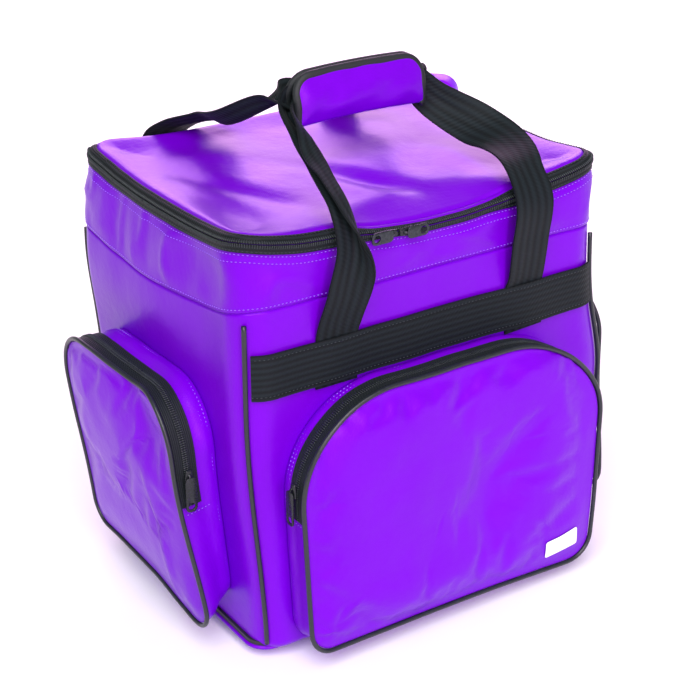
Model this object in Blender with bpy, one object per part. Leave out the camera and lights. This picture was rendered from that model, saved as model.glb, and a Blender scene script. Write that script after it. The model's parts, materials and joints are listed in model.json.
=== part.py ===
"""Rolling ice-skate bag: a soft box with a zipped lid, three zipped pockets, two carry straps
joined by a padded grip, a telescoping corner pull handle and four recessed swivel casters.

Metres, +Z up. The origin is the middle of the whole bag's plan, on the floor; the front is -Y.
Inside the functions, places are measured from the middle of the main box.
"""
import bmesh
import bpy
from math import cos, pi, radians, sin
from mathutils import Vector

# --- driving dimensions -------------------------------------------------------------------------
WIDTH = 0.380               # main box, along X
DEPTH = 0.294               # main box, along Y
ZIP_Z = 0.404               # height of the main zip line above the floor
BOTTOM_Z = 0.0115           # underside of the bag above the floor
COLLAR_DROP = 0.055         # from the zip line down to the collar's seam
CORNER_R = 0.030            # upright corners of the box
BOTTOM_R = 0.009            # rounding of the bottom edge
FABRIC = 0.0025             # coated fabric with its lining
GAP = 0.0003                # between pieces that touch

LID_DOME = 0.012            # how far the padded lid rises above the zip line
LID_HINGE_Y = 0.095         # line where the lid folds back; the zip's two ends reach it

TAPE_THICK = 0.0012         # zip tape
TAPE_HALF = 0.008           # one half of a zip, from its teeth to its outer edge
PIPING_R = 0.0022
WEBBING_WIDTH = 0.042
WEBBING_THICK = 0.002
BAND_Z = 0.2926             # middle of the webbing band round the body
BAND_WIDTH = 0.040
BAND_END = 0.004            # a band stops this far short of the round corner
STRAP_X = 0.100             # strap legs, either side of the middle

FRONT_POCKET_HALF = 0.155
FRONT_POCKET_LOW = 0.024
FRONT_POCKET_HIGH = 0.268
FRONT_POCKET_DEPTH = 0.035
FRONT_POCKET_TOP_R = 0.095
SIDE_POCKET_HALF = 0.100
SIDE_POCKET_Y = 0.006
SIDE_POCKET_LOW = 0.048
SIDE_POCKET_HIGH = 0.266
SIDE_POCKET_DEPTH = 0.043
SIDE_POCKET_TOP_R = 0.060
POCKET_BOTTOM_R = 0.022
POCKET_WALL = 0.002
POCKET_ZIP_END = 0.160      # where a pocket's zip stops on the way down
POCKET_TAPE_WIDTH = 0.020

GRIP_LENGTH = 0.137         # padded wrap that joins the straps
GRIP_HEIGHT = 0.045
GRIP_RISE = 0.057           # from the zip line up to the wrap's fold
GRIP_X = 0.004
GRIP_Y = -0.020
GRIP_PAD = 0.005            # thickness of one wing of the wrap
GRIP_SLOT = 0.014           # room between the wings for the two straps
GRIP_CORNER_R = 0.016
STRAP_STANDS_OFF = 0.016    # how far a strap hangs clear of the box beside the zip
STRAP_LEAN = 0.45           # how steeply a strap is turned where it nears the wrap
STRAP_IN_GRIP = 0.034       # width of a strap where it is gathered inside the wrap

TUBE_OUTER = 0.022          # outside of the fixed handle tube
TUBE_WALL = 0.0012
TUBE_CLEARANCE = 0.0005     # on each side, between one tube and the next
TUBE_FOOT_Z = 0.030
TUBE_CORNER_R = 0.004
TUBE_SHOWS = 0.008          # how far each tube stands out of the next larger one
TUBE_LIFT = 0.002           # each tube's lower end above that of the next larger one
POLE_BLOCK_SIDE = 0.004     # the foot and the bracket beyond the tube, along the grip
POLE_BLOCK_BACK = 0.0006    # and away from the bag
POLE_FOOT_BELOW = 0.012
POLE_FOOT_HIGH = 0.016
BRACKET_DROP = 0.052
BRACKET_HEIGHT = 0.022
HANDLE_LENGTH = 0.088       # moulded pull grip
HANDLE_HEIGHT = 0.050
HANDLE_THICK = 0.022
HANDLE_BAR = 0.011
HANDLE_TOP_RISE = 0.015     # top of the pull grip above the zip line
HANDLE_R = 0.018
BUTTON_LENGTH = 0.038
BUTTON_WIDTH = 0.009
BUTTON_TRAVEL = 0.002
BUTTON_WELL = 0.0055        # depth of the recess that the button moves in
BUTTON_PROUD = 0.0006

WHEEL_R = 0.016
WHEEL_WIDTH = 0.012
AXLE_R = 0.002
RUNNING = 0.0003            # running clearance of wheels and swivel stems
CASTER_X = 0.130
CASTER_Y = 0.085
CASTER_TRAIL = 0.008
WELL_R = 0.027
WELL_WALL = 0.0025
BOARD_THICK = 0.004
CHEEK = 0.002
STEM_R = 0.004
CROWN_R = 0.012             # plate of the fork, above the wheel
CROWN_SHIFT = 0.002
CROWN_CLEARANCE = 0.0025    # over the wheel
CHEEK_CLEARANCE = 0.0006    # beside the wheel
AXLE_BOSS_R = 0.005
CHEEK_BACK = 0.006          # the cheek's root, behind and in front of the stem
CHEEK_FRONT = 0.011
TREAD_EDGE = 0.0015
PIN_PROUD = 0.001

SLIDER_LENGTH = 0.014
SLIDER_WIDTH = 0.010
SLIDER_THICK = 0.004
SLIDER_STAND = 0.001        # the slider's wings hold it off the tape
PULL_LENGTH = 0.034
MAIN_PULL_LENGTH = 0.022    # the main zip's shorter pulls, lying along it
PULL_WIDTH = 0.011
PULL_THICK = 0.0015
PULL_HOLE_R = 0.0033
PULL_HEEL = 0.0006          # what the pull has behind its pivot
PULL_R = 0.004
SLIDER_R = 0.003
SLIDER_APART = 0.001        # half the gap between the two main sliders' noses
MAIN_SLIDER_X = -0.041      # where the two main sliders meet
POCKET_SLIDER_Z = 0.192

LABEL_X = 0.131
LABEL_Z = 0.048
LABEL_WIDTH = 0.040
LABEL_HEIGHT = 0.020
LABEL_TILT = radians(6)
LABEL_THICK = 0.0008
LABEL_R = 0.002

# --- values that follow --------------------------------------------------------------------------
HALF_X = WIDTH / 2
HALF_Y = DEPTH / 2
COLLAR_Z = ZIP_Z - COLLAR_DROP
DIAGONAL = Vector((1, 1, 0)).normalized()
CROSS = Vector((1, -1, 0)).normalized()
CORNER_CENTRE = Vector((HALF_X - CORNER_R, HALF_Y - CORNER_R, 0))
POLE = CORNER_CENTRE + DIAGONAL * (CORNER_R + 2 * PIPING_R + 0.001 + TUBE_OUTER / 2)
HANDLE_TOP = ZIP_Z + HANDLE_TOP_RISE
HANDLE_BOTTOM = HANDLE_TOP - HANDLE_HEIGHT
FLOOR_TOP = BOTTOM_Z + FABRIC
WELL_TOP = 2 * WHEEL_R + 0.0035 + BOARD_THICK + 0.001
FRONT_REACH = HALF_Y + GAP + FRONT_POCKET_DEPTH + PIPING_R
BACK_REACH = POLE.y + (HANDLE_LENGTH + HANDLE_THICK) / 2 ** 1.5
ARC_STEPS = 6
ROUND_STEPS = 20

PURPLE = (0.246, 0.0, 0.93)
BLACK = (0.02, 0.025, 0.027)
SLATE = (0.022, 0.04, 0.045)


# --- tools -----------------------------------------------------------------------------------------
def material(name, colour, roughness, metallic=0.0):
    made = bpy.data.materials.new(name)
    made.use_nodes = True
    shader = made.node_tree.nodes["Principled BSDF"]
    shader.inputs["Base Color"].default_value = (*colour, 1.0)
    shader.inputs["Roughness"].default_value = roughness
    shader.inputs["Metallic"].default_value = metallic
    made.diffuse_color = (*colour, 1.0)
    return made


def place(name, mesh, look, origin=(0, 0, 0), smooth=False):
    """Make the object of a mesh that is in world coordinates, with its origin at a given point."""
    mesh.name = name
    mesh.materials.append(material(name, *look))
    if smooth:
        mesh.shade_smooth()
        mesh.set_sharp_from_angle(angle=radians(35))
    for vertex in mesh.vertices:
        vertex.co -= Vector(origin)
    made = bpy.data.objects.new(name, mesh)
    made.location = origin
    bpy.context.collection.objects.link(made)
    return made


def loft(rings, closed=False):
    """Bridge rings of equal length; the first and last are capped, or joined when closed."""
    bm = bmesh.new()
    loops = [[bm.verts.new(point) for point in ring] for ring in rings]
    pairs = list(zip(loops, loops[1:]))
    if closed:
        pairs.append((loops[-1], loops[0]))
    else:
        bm.faces.new(loops[0])
        bm.faces.new(loops[-1])
    for lower, upper in pairs:
        count = len(lower)
        for i in range(count):
            j = (i + 1) % count
            bm.faces.new((lower[i], lower[j], upper[j], upper[i]))
    bmesh.ops.recalc_face_normals(bm, faces=bm.faces)
    mesh = bpy.data.meshes.new("loft")
    bm.to_mesh(mesh)
    bm.free()
    return mesh


def arc(centre_u, centre_v, radius, start, end, steps=ARC_STEPS):
    angles = [start + (end - start) * i / steps for i in range(steps + 1)]
    return [(centre_u + radius * cos(a), centre_v + radius * sin(a)) for a in angles]


def rounded(half_u, half_v, radius, u=0.0, v=0.0, steps=ARC_STEPS):
    """Anticlockwise outline of a rectangle with round corners."""
    points = []
    corners = ((1, -1, -pi / 2), (1, 1, 0.0), (-1, 1, pi / 2), (-1, -1, pi))
    for side_u, side_v, start in corners:
        centre = (u + side_u * (half_u - radius), v + side_v * (half_v - radius))
        points += arc(*centre, radius, start, start + pi / 2, steps)
    return points


def arch(half_u, low, high, low_r, high_r, u=0.0, inset=0.0):
    """Anticlockwise outline with small round corners below and a wide arch above."""
    half_u = half_u - inset
    low = low + inset
    high = high - inset
    low_r = low_r - inset
    high_r = high_r - inset
    points = arc(u + half_u - low_r, low + low_r, low_r, -pi / 2, 0)
    points += arc(u + half_u - high_r, high - high_r, high_r, 0, pi / 2, 2 * ARC_STEPS)
    points += arc(u - half_u + high_r, high - high_r, high_r, pi / 2, pi, 2 * ARC_STEPS)
    points += arc(u - half_u + low_r, low + low_r, low_r, pi, 3 * pi / 2)
    return points


def along_z(outline, z):
    return [(u, v, z) for u, v in outline]


def along_y(outline, y):
    return [(u, y, v) for u, v in outline]


def along_x(outline, x):
    return [(x, u, v) for u, v in outline]


def circle(radius, u=0.0, v=0.0, steps=ROUND_STEPS):
    turn = [2 * pi * i / steps for i in range(steps)]
    return [(u + radius * cos(a), v + radius * sin(a)) for a in turn]


def merge(meshes):
    """Put several closed meshes into one, as one operand of a Boolean."""
    bm = bmesh.new()
    for mesh in meshes:
        bm.from_mesh(mesh)
    merged = bpy.data.meshes.new("merged")
    bm.to_mesh(merged)
    bm.free()
    return merged


def boolean(target, operation, mesh):
    """Cut a mesh from an object, or join it on, with a hidden helper object."""
    helper = bpy.data.objects.new(f"helper_{target.name}_{operation.lower()}", mesh)
    bpy.context.collection.objects.link(helper)
    helper.hide_render = True
    helper.display_type = "WIRE"
    step = target.modifiers.new(operation.title(), "BOOLEAN")
    step.operation = operation
    step.object = helper
    step.solver = "EXACT"


def tube(name, points, radius, look, cyclic=False, sides=2):
    """A round cord through the points, with filled ends."""
    curve = bpy.data.curves.new(name, "CURVE")
    curve.dimensions = "3D"
    curve.bevel_depth = radius
    curve.bevel_resolution = sides
    curve.use_fill_caps = True
    spline = curve.splines.new("POLY")
    spline.points.add(len(points) - 1)
    for target, point in zip(spline.points, points):
        target.co = (*point, 1.0)
    spline.use_cyclic_u = cyclic
    curve.materials.append(material(name, *look))
    made = bpy.data.objects.new(name, curve)
    bpy.context.collection.objects.link(made)
    return made


CLOTH = (PURPLE, 0.38)
TRIM = (BLACK, 0.5)
WEBBING = (SLATE, 0.8)
PLASTIC = (PURPLE, 0.3)
METAL = ((0.55, 0.56, 0.58), 0.3, 1.0)
BLACK_METAL = ((0.03, 0.03, 0.032), 0.35, 0.6)
RUBBER = ((0.03, 0.03, 0.03), 0.7)


# --- body, base and lid ------------------------------------------------------------------------------
def box_ring(inset, z):
    outline = rounded(HALF_X - inset, HALF_Y - inset, CORNER_R - inset)
    return along_z(outline, z)


def caster_places():
    for x_name, x in (("l", -CASTER_X), ("r", CASTER_X)):
        for y_name, y in (("f", -CASTER_Y), ("b", CASTER_Y)):
            yield y_name + x_name, x, y


def cylinders(radius, low, high):
    return merge([
        loft([along_z(circle(radius, x, y), low), along_z(circle(radius, x, y), high)])
        for _, x, y in caster_places()
    ])


def make_body():
    rings = [
        box_ring(BOTTOM_R * (1 - sin(a)), BOTTOM_Z + BOTTOM_R * (1 - cos(a)))
        for a in (0.0, pi / 6, pi / 3, pi / 2)
    ]
    rings.append(box_ring(0, ZIP_Z - GAP))
    rings.append(box_ring(FABRIC, ZIP_Z - GAP))
    rings.append(box_ring(FABRIC, BOTTOM_Z + BOTTOM_R))
    rings.append(box_ring(BOTTOM_R, FLOOR_TOP))
    body = place("body_shell", loft(rings), CLOTH)
    well = WELL_R + WELL_WALL + 2 * GAP
    boolean(body, "DIFFERENCE", cylinders(well, 0, FLOOR_TOP + GAP))

    inset = BOTTOM_R + GAP
    low = FLOOR_TOP + GAP
    board = place(
        "base_board",
        loft([box_ring(inset, low), box_ring(inset, low + BOARD_THICK)]),
        (BLACK, 0.6),
    )
    boolean(board, "UNION", cylinders(WELL_R + WELL_WALL, low - FABRIC, WELL_TOP))
    boolean(board, "DIFFERENCE", cylinders(WELL_R, 0, WELL_TOP - BOARD_THICK))
    boolean(board, "DIFFERENCE", cylinders(STEM_R + RUNNING, 0, WELL_TOP + GAP))


def top_outline(inset, side, wall=0.0):
    """Outline of the lid (side -1, in front of the fold) or of the fixed top behind it (side 1)."""
    half = HALF_X - inset
    far = HALF_Y - inset
    radius = max(CORNER_R - inset, 0.004)
    fold = LID_HINGE_Y + side * (GAP + wall)
    left = arc(-half + radius, far - radius, radius, pi, pi / 2)
    right = arc(half - radius, far - radius, radius, pi / 2, 0)
    points = [(-half, side * fold)] + left + right + [(half, side * fold)]
    return [(u, side * v) for u, v in points]


DOME_INSETS = (0.0, 0.012, 0.026)
DOME_RISES = (TAPE_HALF, TAPE_HALF + 0.6 * (LID_DOME - TAPE_HALF), LID_DOME)


def make_top(name, side):
    outside = [along_z(top_outline(0.0, side), ZIP_Z + GAP)]
    inside = [along_z(top_outline(FABRIC, side, FABRIC), ZIP_Z + GAP)]
    for inset, rise in zip(DOME_INSETS, DOME_RISES):
        outside.append(along_z(top_outline(inset, side), ZIP_Z + rise))
        low = along_z(top_outline(inset + FABRIC, side, FABRIC), ZIP_Z + rise - FABRIC)
        inside.append(low)
    mesh = loft(inside[::-1] + outside)
    place(name, mesh, CLOTH, origin=(0, LID_HINGE_Y, ZIP_Z + LID_DOME))


def tape_outline(low, high):
    """U-shaped strip round the front of the box, between two distances from its wall."""
    def path(out):
        points = [(-HALF_X - out, LID_HINGE_Y)]
        radius = CORNER_R + out
        points += arc(-HALF_X + CORNER_R, -HALF_Y + CORNER_R, radius, pi, 3 * pi / 2)
        points += arc(HALF_X - CORNER_R, -HALF_Y + CORNER_R, radius, 3 * pi / 2, 2 * pi)
        return points + [(HALF_X + out, LID_HINGE_Y)]
    return path(high) + path(low)[::-1]


def make_main_zip():
    outline = tape_outline(GAP, GAP + TAPE_THICK)
    low = [along_z(outline, ZIP_Z - TAPE_HALF), along_z(outline, ZIP_Z - GAP)]
    high = [along_z(outline, ZIP_Z + GAP), along_z(outline, ZIP_Z + TAPE_HALF)]
    place("zip_tape_body", loft(low), TRIM)
    place("zip_tape_lid", loft(high), TRIM, origin=(0, LID_HINGE_Y, ZIP_Z + LID_DOME))


def make_corner_pipings():
    reach = (CORNER_R + GAP + PIPING_R) / 2 ** 0.5
    for name, side_x, side_y in (("fl", -1, -1), ("fr", 1, -1), ("bl", -1, 1), ("br", 1, 1)):
        x = side_x * (HALF_X - CORNER_R + reach)
        y = side_y * (HALF_Y - CORNER_R + reach)
        low = BOTTOM_Z + BOTTOM_R
        points = [(x, y, low + (COLLAR_Z - low) * i / 6) for i in range(7)]
        tube(f"corner_piping_{name}", points, PIPING_R, TRIM)


# --- webbing -----------------------------------------------------------------------------------------
def strip(u_low, u_high, v_low, v_high):
    return [(u_low, v_low), (u_high, v_low), (u_high, v_high), (u_low, v_high)]


def make_bands_and_anchors():
    half = HALF_X - CORNER_R - BAND_END
    first = HALF_Y + GAP
    second = first + WEBBING_THICK + GAP
    for name, side in (("front", -1), ("back", 1)):
        outline = strip(-half, half, BAND_Z - BAND_WIDTH / 2, BAND_Z + BAND_WIDTH / 2)
        layers = [along_y(outline, side * y) for y in (second, second + WEBBING_THICK)]
        place(f"{name}_band", loft(layers), WEBBING)
        for side_name, x in (("l", -STRAP_X), ("r", STRAP_X)):
            low = FRONT_POCKET_HIGH + PIPING_R
            outline = strip(x - WEBBING_WIDTH / 2, x + WEBBING_WIDTH / 2, low, COLLAR_Z)
            layers = [along_y(outline, side * y) for y in (first, first + WEBBING_THICK)]
            place(f"{name}_anchor_{side_name}", loft(layers), WEBBING)


def smooth_path(points, per_span):
    """Points on a Catmull-Rom curve through the given ones."""
    ends = [2 * points[0] - points[1]] + points + [2 * points[-1] - points[-2]]
    path = []
    for a, b, c, d in zip(ends, ends[1:], ends[2:], ends[3:]):
        for i in range(per_span):
            t = i / per_span
            path.append(0.5 * (2 * b + (c - a) * t + (2 * a - 5 * b + 4 * c - d) * t ** 2
                               + (3 * b - a - 3 * c + d) * t ** 3))
    return path + [points[-1]]


def make_carry_strap(name, side):
    """A strap from its left seam over the lid, through the wrap and down to its right seam."""
    seam_y = side * (HALF_Y + GAP + WEBBING_THICK / 2)
    out_y = side * (HALF_Y + STRAP_STANDS_OFF)
    grip_y = GRIP_Y + side * GRIP_SLOT / 4
    middle = ZIP_Z + GRIP_RISE + GRIP_PAD + STRAP_IN_GRIP / 2 + 0.002
    ends = (GRIP_X - GRIP_LENGTH / 2, GRIP_X + GRIP_LENGTH / 2)

    def leg(x, grip_end, outward):
        """Place, width direction and width at each station from the seam to the wrap."""
        level = Vector((1, 0, 0))
        upright = Vector((0, 0, 1))
        tilted = Vector((1, 0, outward * STRAP_LEAN)).normalized()
        steep = Vector((0.5, 0, outward)).normalized()
        toward = grip_end + outward * 0.012
        return [
            (Vector((x, seam_y, COLLAR_Z + 2 * GAP)), level, WEBBING_WIDTH),
            (Vector((x, out_y, COLLAR_Z + 0.028)), level, WEBBING_WIDTH),
            (Vector((x, out_y, ZIP_Z + 0.004)), level, WEBBING_WIDTH),
            (Vector((x - outward * 0.004, 0.86 * out_y, ZIP_Z + 0.036)), level, WEBBING_WIDTH),
            (Vector(((x + toward) / 2, 0.5 * out_y + 0.5 * grip_y, ZIP_Z + 0.055)),
             tilted, WEBBING_WIDTH - 0.003),
            (Vector((toward, 0.06 * out_y + 0.94 * grip_y, middle)), steep, STRAP_IN_GRIP),
            (Vector((grip_end - outward * 0.012, grip_y, middle)), outward * upright,
             STRAP_IN_GRIP),
            (Vector((grip_end - outward * 0.024, grip_y, middle)), outward * upright,
             STRAP_IN_GRIP),
            (Vector((grip_end - outward * 0.040, grip_y, middle)), outward * upright,
             STRAP_IN_GRIP),
        ]
    left = leg(-STRAP_X, ends[0], -1)
    right = leg(STRAP_X, ends[1], 1)
    stations = left + [(p, -w, b) for p, w, b in right[::-1]]
    places = smooth_path([p for p, _, _ in stations], 4)
    widths = smooth_path([w * b for _, w, b in stations], 4)
    rings = []
    for i, (centre, width) in enumerate(zip(places, widths)):
        before = places[max(i - 1, 0)]
        after = places[min(i + 1, len(places) - 1)]
        run = (after - before).normalized()
        if i in (0, len(places) - 1):
            run = Vector((0, 0, 1 if i == 0 else -1))
        across = width - run * width.dot(run)
        normal = run.cross(across).normalized() * WEBBING_THICK / 2
        half = across / 2
        rings.append([centre - half - normal, centre + half - normal,
                      centre + half + normal, centre - half + normal])
    pivot = (0, seam_y, COLLAR_Z)
    place(name, loft(rings), WEBBING, origin=pivot)


def make_grip_wrap():
    low = ZIP_Z + GRIP_RISE
    high = low + GRIP_HEIGHT
    left = GRIP_X - GRIP_LENGTH / 2
    right = GRIP_X + GRIP_LENGTH / 2

    def wing(y_near, y_far, bottom):
        outline = [(left, bottom), (right, bottom)]
        outline += arc(right - GRIP_CORNER_R, high - GRIP_CORNER_R, GRIP_CORNER_R, 0, pi / 2)
        outline += arc(left + GRIP_CORNER_R, high - GRIP_CORNER_R, GRIP_CORNER_R, pi / 2, pi)
        return loft([along_y(outline, y_near), along_y(outline, y_far)])
    inner = GRIP_SLOT / 2
    outer = inner + GRIP_PAD
    pivot = (0, -HALF_Y - GAP - WEBBING_THICK / 2, COLLAR_Z)
    wrap = place("grip_wrap", wing(GRIP_Y - outer, GRIP_Y - inner, low), CLOTH, origin=pivot)
    fold = strip(GRIP_Y - inner - GRIP_PAD / 2, GRIP_Y + inner, low, low + GRIP_PAD)
    boolean(wrap, "UNION", loft([along_x(fold, left), along_x(fold, right)]))
    near = GRIP_Y + inner + GAP
    hinge = (0, near, low)
    place("grip_flap", wing(near, near + GRIP_PAD, low), CLOTH, origin=hinge)


# --- pockets -----------------------------------------------------------------------------------------
def pocket_side(out, half, low, high, top_r, u):
    """Outline of the gusset at a distance outside it, from one end of its zip to the other."""
    points = arch(half, low, high, POCKET_BOTTOM_R, top_r, u, inset=-out)
    upper = points[ARC_STEPS + 1:-(ARC_STEPS + 1)]
    return [(upper[0][0], POCKET_ZIP_END)] + upper + [(upper[-1][0], POCKET_ZIP_END)]


def make_pocket(name, axis_map, sign, wall, depth, half, low, high, top_r, u):
    base = sign * (wall + GAP)
    face = sign * (wall + GAP + depth)
    inner_face = sign * (wall + GAP + depth - POCKET_WALL)
    shape = dict(half_u=half, low=low, high=high, low_r=POCKET_BOTTOM_R, high_r=top_r, u=u)
    outside = arch(**shape)
    inside = arch(**shape, inset=POCKET_WALL)
    rings = [axis_map(inside, inner_face), axis_map(inside, base),
             axis_map(outside, base), axis_map(outside, face)]
    place(f"{name}_pouch", loft(rings), CLOTH)

    welt = arch(**shape, inset=-(PIPING_R + GAP))
    tube(f"{name}_piping", axis_map(welt, face), PIPING_R, TRIM, cyclic=True, sides=1)

    far = pocket_side(GAP + TAPE_THICK, half, low, high, top_r, u)
    near = pocket_side(GAP, half, low, high, top_r, u)
    top = wall + GAP + depth - PIPING_R - 2 * GAP
    tape = [axis_map(far + near[::-1], sign * t) for t in (top - POCKET_TAPE_WIDTH, top)]
    place(f"{name}_zip_tape", loft(tape), TRIM)
    return top - POCKET_TAPE_WIDTH / 2


def make_label():
    y = -(HALF_Y + 2 * GAP + FRONT_POCKET_DEPTH)
    turned = [
        (LABEL_X + u * cos(LABEL_TILT) - v * sin(LABEL_TILT),
         LABEL_Z + u * sin(LABEL_TILT) + v * cos(LABEL_TILT))
        for u, v in rounded(LABEL_WIDTH / 2, LABEL_HEIGHT / 2, LABEL_R, steps=2)
    ]
    place("label_patch", loft([along_y(turned, y), along_y(turned, y - LABEL_THICK)]),
          ((0.86, 0.93, 0.88), 0.45))


# --- zip sliders ---------------------------------------------------------------------------------------
def make_slider(name, along, out, foot, pull_length):
    """A slider lying on the tape, with a pull that lies along the teeth.

    along is the direction from the slider to its pull's end, out points away from the tape, and
    foot is the middle of the slider where it touches the tape.
    """
    def plate(outline, low, high, u_axis, v_axis, start):
        return loft([
            [start + u_axis * u + v_axis * v + out * level for u, v in outline]
            for level in (low, high)
        ])
    across = along.cross(out)
    body = rounded(SLIDER_LENGTH / 2, SLIDER_WIDTH / 2, SLIDER_R, steps=3)
    mesh = plate(body, SLIDER_STAND, SLIDER_STAND + SLIDER_THICK, along, across, foot)
    place(f"{name}_slider", mesh, BLACK_METAL, origin=foot)

    level = SLIDER_STAND + SLIDER_THICK + GAP
    hinge = foot + out * (level + PULL_THICK / 2)
    middle = pull_length / 2 - PULL_HEEL
    outline = rounded(pull_length / 2, PULL_WIDTH / 2, PULL_R, u=middle, steps=3)
    hole = circle(PULL_HOLE_R, u=pull_length - PULL_WIDTH / 2 - PULL_HEEL, steps=16)
    pull = plate(outline, level, level + PULL_THICK, along, across, foot)
    made = place(f"{name}_pull", pull, BLACK_METAL, origin=hinge)
    boolean(made, "DIFFERENCE",
            plate(hole, level - GAP, level + PULL_THICK + GAP, along, across, foot))


# --- pull handle ---------------------------------------------------------------------------------------
def on_pole(outline, z):
    """Map (along the grip, away from the bag) to the pole's place at the back right corner."""
    return [POLE + CROSS * u + DIAGONAL * v + Vector((0, 0, z)) for u, v in outline]


def make_tube(name, outside, low, high):
    half = outside / 2
    outer = rounded(half, half, TUBE_CORNER_R, steps=3)
    inner = rounded(half - TUBE_WALL, half - TUBE_WALL, TUBE_CORNER_R - TUBE_WALL, steps=3)
    rings = [on_pole(outer, low), on_pole(outer, high), on_pole(inner, high), on_pole(inner, low)]
    place(name, loft(rings, closed=True), METAL, origin=POLE)


def make_handle():
    step = 2 * (TUBE_WALL + TUBE_CLEARANCE)
    top = HANDLE_BOTTOM - GAP
    make_tube("handle_tube_outer", TUBE_OUTER, TUBE_FOOT_Z, top - 2 * TUBE_SHOWS)
    make_tube("handle_tube_middle", TUBE_OUTER - step, TUBE_FOOT_Z + TUBE_LIFT,
              top - TUBE_SHOWS)
    make_tube("handle_tube_inner", TUBE_OUTER - 2 * step, TUBE_FOOT_Z + 2 * TUBE_LIFT, top)

    half = TUBE_OUTER / 2
    block = rounded(half + POLE_BLOCK_SIDE, half + POLE_BLOCK_BACK, 0.003, steps=3)
    foot = place(
        "handle_foot",
        loft([on_pole(block, TUBE_FOOT_Z - POLE_FOOT_BELOW),
              on_pole(block, TUBE_FOOT_Z + POLE_FOOT_HIGH)]),
        (BLACK, 0.5),
    )
    socket = rounded(half + GAP, half + GAP, TUBE_CORNER_R, steps=3)
    cutter = loft([on_pole(socket, TUBE_FOOT_Z - GAP),
                   on_pole(socket, TUBE_FOOT_Z + POLE_FOOT_HIGH + TUBE_CORNER_R)])
    boolean(foot, "DIFFERENCE", cutter)

    low = top - BRACKET_DROP
    rings = [on_pole(block, low), on_pole(block, low + BRACKET_HEIGHT)]
    rings += [on_pole(socket, low + BRACKET_HEIGHT), on_pole(socket, low)]
    place("handle_top_bracket", loft(rings, closed=True), (BLACK, 0.5))

    def on_grip(outline, v):
        return [POLE + CROSS * u + DIAGONAL * v + Vector((0, 0, z)) for u, z in outline]
    thick = HANDLE_THICK / 2
    middle = (HANDLE_TOP + HANDLE_BOTTOM) / 2
    outer = rounded(HANDLE_LENGTH / 2, HANDLE_HEIGHT / 2, HANDLE_R, v=middle)
    inner = rounded(HANDLE_LENGTH / 2 - HANDLE_BAR, HANDLE_HEIGHT / 2 - HANDLE_BAR,
                    HANDLE_R - HANDLE_BAR, v=middle)
    rings = [on_grip(outer, -thick), on_grip(outer, thick),
             on_grip(inner, thick), on_grip(inner, -thick)]
    grip = place("handle_grip", loft(rings, closed=True), PLASTIC, origin=POLE, smooth=True)
    well = rounded(BUTTON_LENGTH / 2 + GAP, BUTTON_WIDTH / 2 + GAP, 0.004, steps=3)
    boolean(grip, "DIFFERENCE",
            loft([on_pole(well, HANDLE_TOP - BUTTON_WELL), on_pole(well, HANDLE_TOP + BUTTON_WELL)]))
    key = rounded(BUTTON_LENGTH / 2, BUTTON_WIDTH / 2, 0.004 - GAP, steps=3)
    low = HANDLE_TOP - BUTTON_WELL + BUTTON_TRAVEL + 2 * GAP
    place("handle_button", loft([on_pole(key, low), on_pole(key, HANDLE_TOP + BUTTON_PROUD)]),
          PLASTIC, origin=POLE)


# --- casters ---------------------------------------------------------------------------------------------
def make_casters():
    axle_z = WHEEL_R
    crown_low = 2 * WHEEL_R + CROWN_CLEARANCE
    crown_high = WELL_TOP - BOARD_THICK - 0.001
    cheek_near = WHEEL_WIDTH / 2 + CHEEK_CLEARANCE
    for name, x, y in caster_places():
        axle_y = y + CASTER_TRAIL
        plate = circle(CROWN_R, x, y + CROWN_SHIFT)
        crown = loft([along_z(plate, crown_low), along_z(plate, crown_high)])
        fork = place(f"caster_fork_{name}", crown, METAL, origin=(x, y, crown_low))
        stem = loft([along_z(circle(STEM_R, x, y), crown_low + GAP),
                     along_z(circle(STEM_R, x, y), WELL_TOP)])
        cheeks = []
        for side in (-1, 1):
            outline = [(y - CHEEK_BACK, crown_low + 0.001), (axle_y - AXLE_BOSS_R, axle_z - 0.003)]
            outline += arc(axle_y, axle_z, AXLE_BOSS_R, pi * 1.2, pi * 1.9, 4)
            outline += [(axle_y + AXLE_BOSS_R, axle_z), (y + CHEEK_FRONT, crown_low + 0.001)]
            ends = [x + side * cheek_near, x + side * (cheek_near + CHEEK)]
            cheeks.append(loft([along_x(outline, end) for end in ends]))
        boolean(fork, "UNION", merge(cheeks))
        boolean(fork, "UNION", stem)
        bore = circle(AXLE_R + GAP, axle_y, axle_z, 12)
        boolean(fork, "DIFFERENCE", loft([along_x(bore, x - 0.02), along_x(bore, x + 0.02)]))

        half = WHEEL_WIDTH / 2
        shoulder = WHEEL_R - TREAD_EDGE
        profile = [(shoulder, -half), (WHEEL_R, TREAD_EDGE - half), (WHEEL_R, half - TREAD_EDGE),
                   (shoulder, half), (AXLE_R + RUNNING, half), (AXLE_R + RUNNING, -half)]
        rings = [along_x(circle(r, axle_y, axle_z, 24), x + w) for r, w in profile]
        place(f"caster_wheel_{name}", loft(rings, closed=True), RUBBER,
              origin=(x, axle_y, axle_z), smooth=True)
        pin = circle(AXLE_R, axle_y, axle_z, 12)
        reach = cheek_near + CHEEK + PIN_PROUD
        place(f"caster_axle_{name}", loft([along_x(pin, x - reach), along_x(pin, x + reach)]),
              METAL, origin=(x, axle_y, axle_z), smooth=True)


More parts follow.
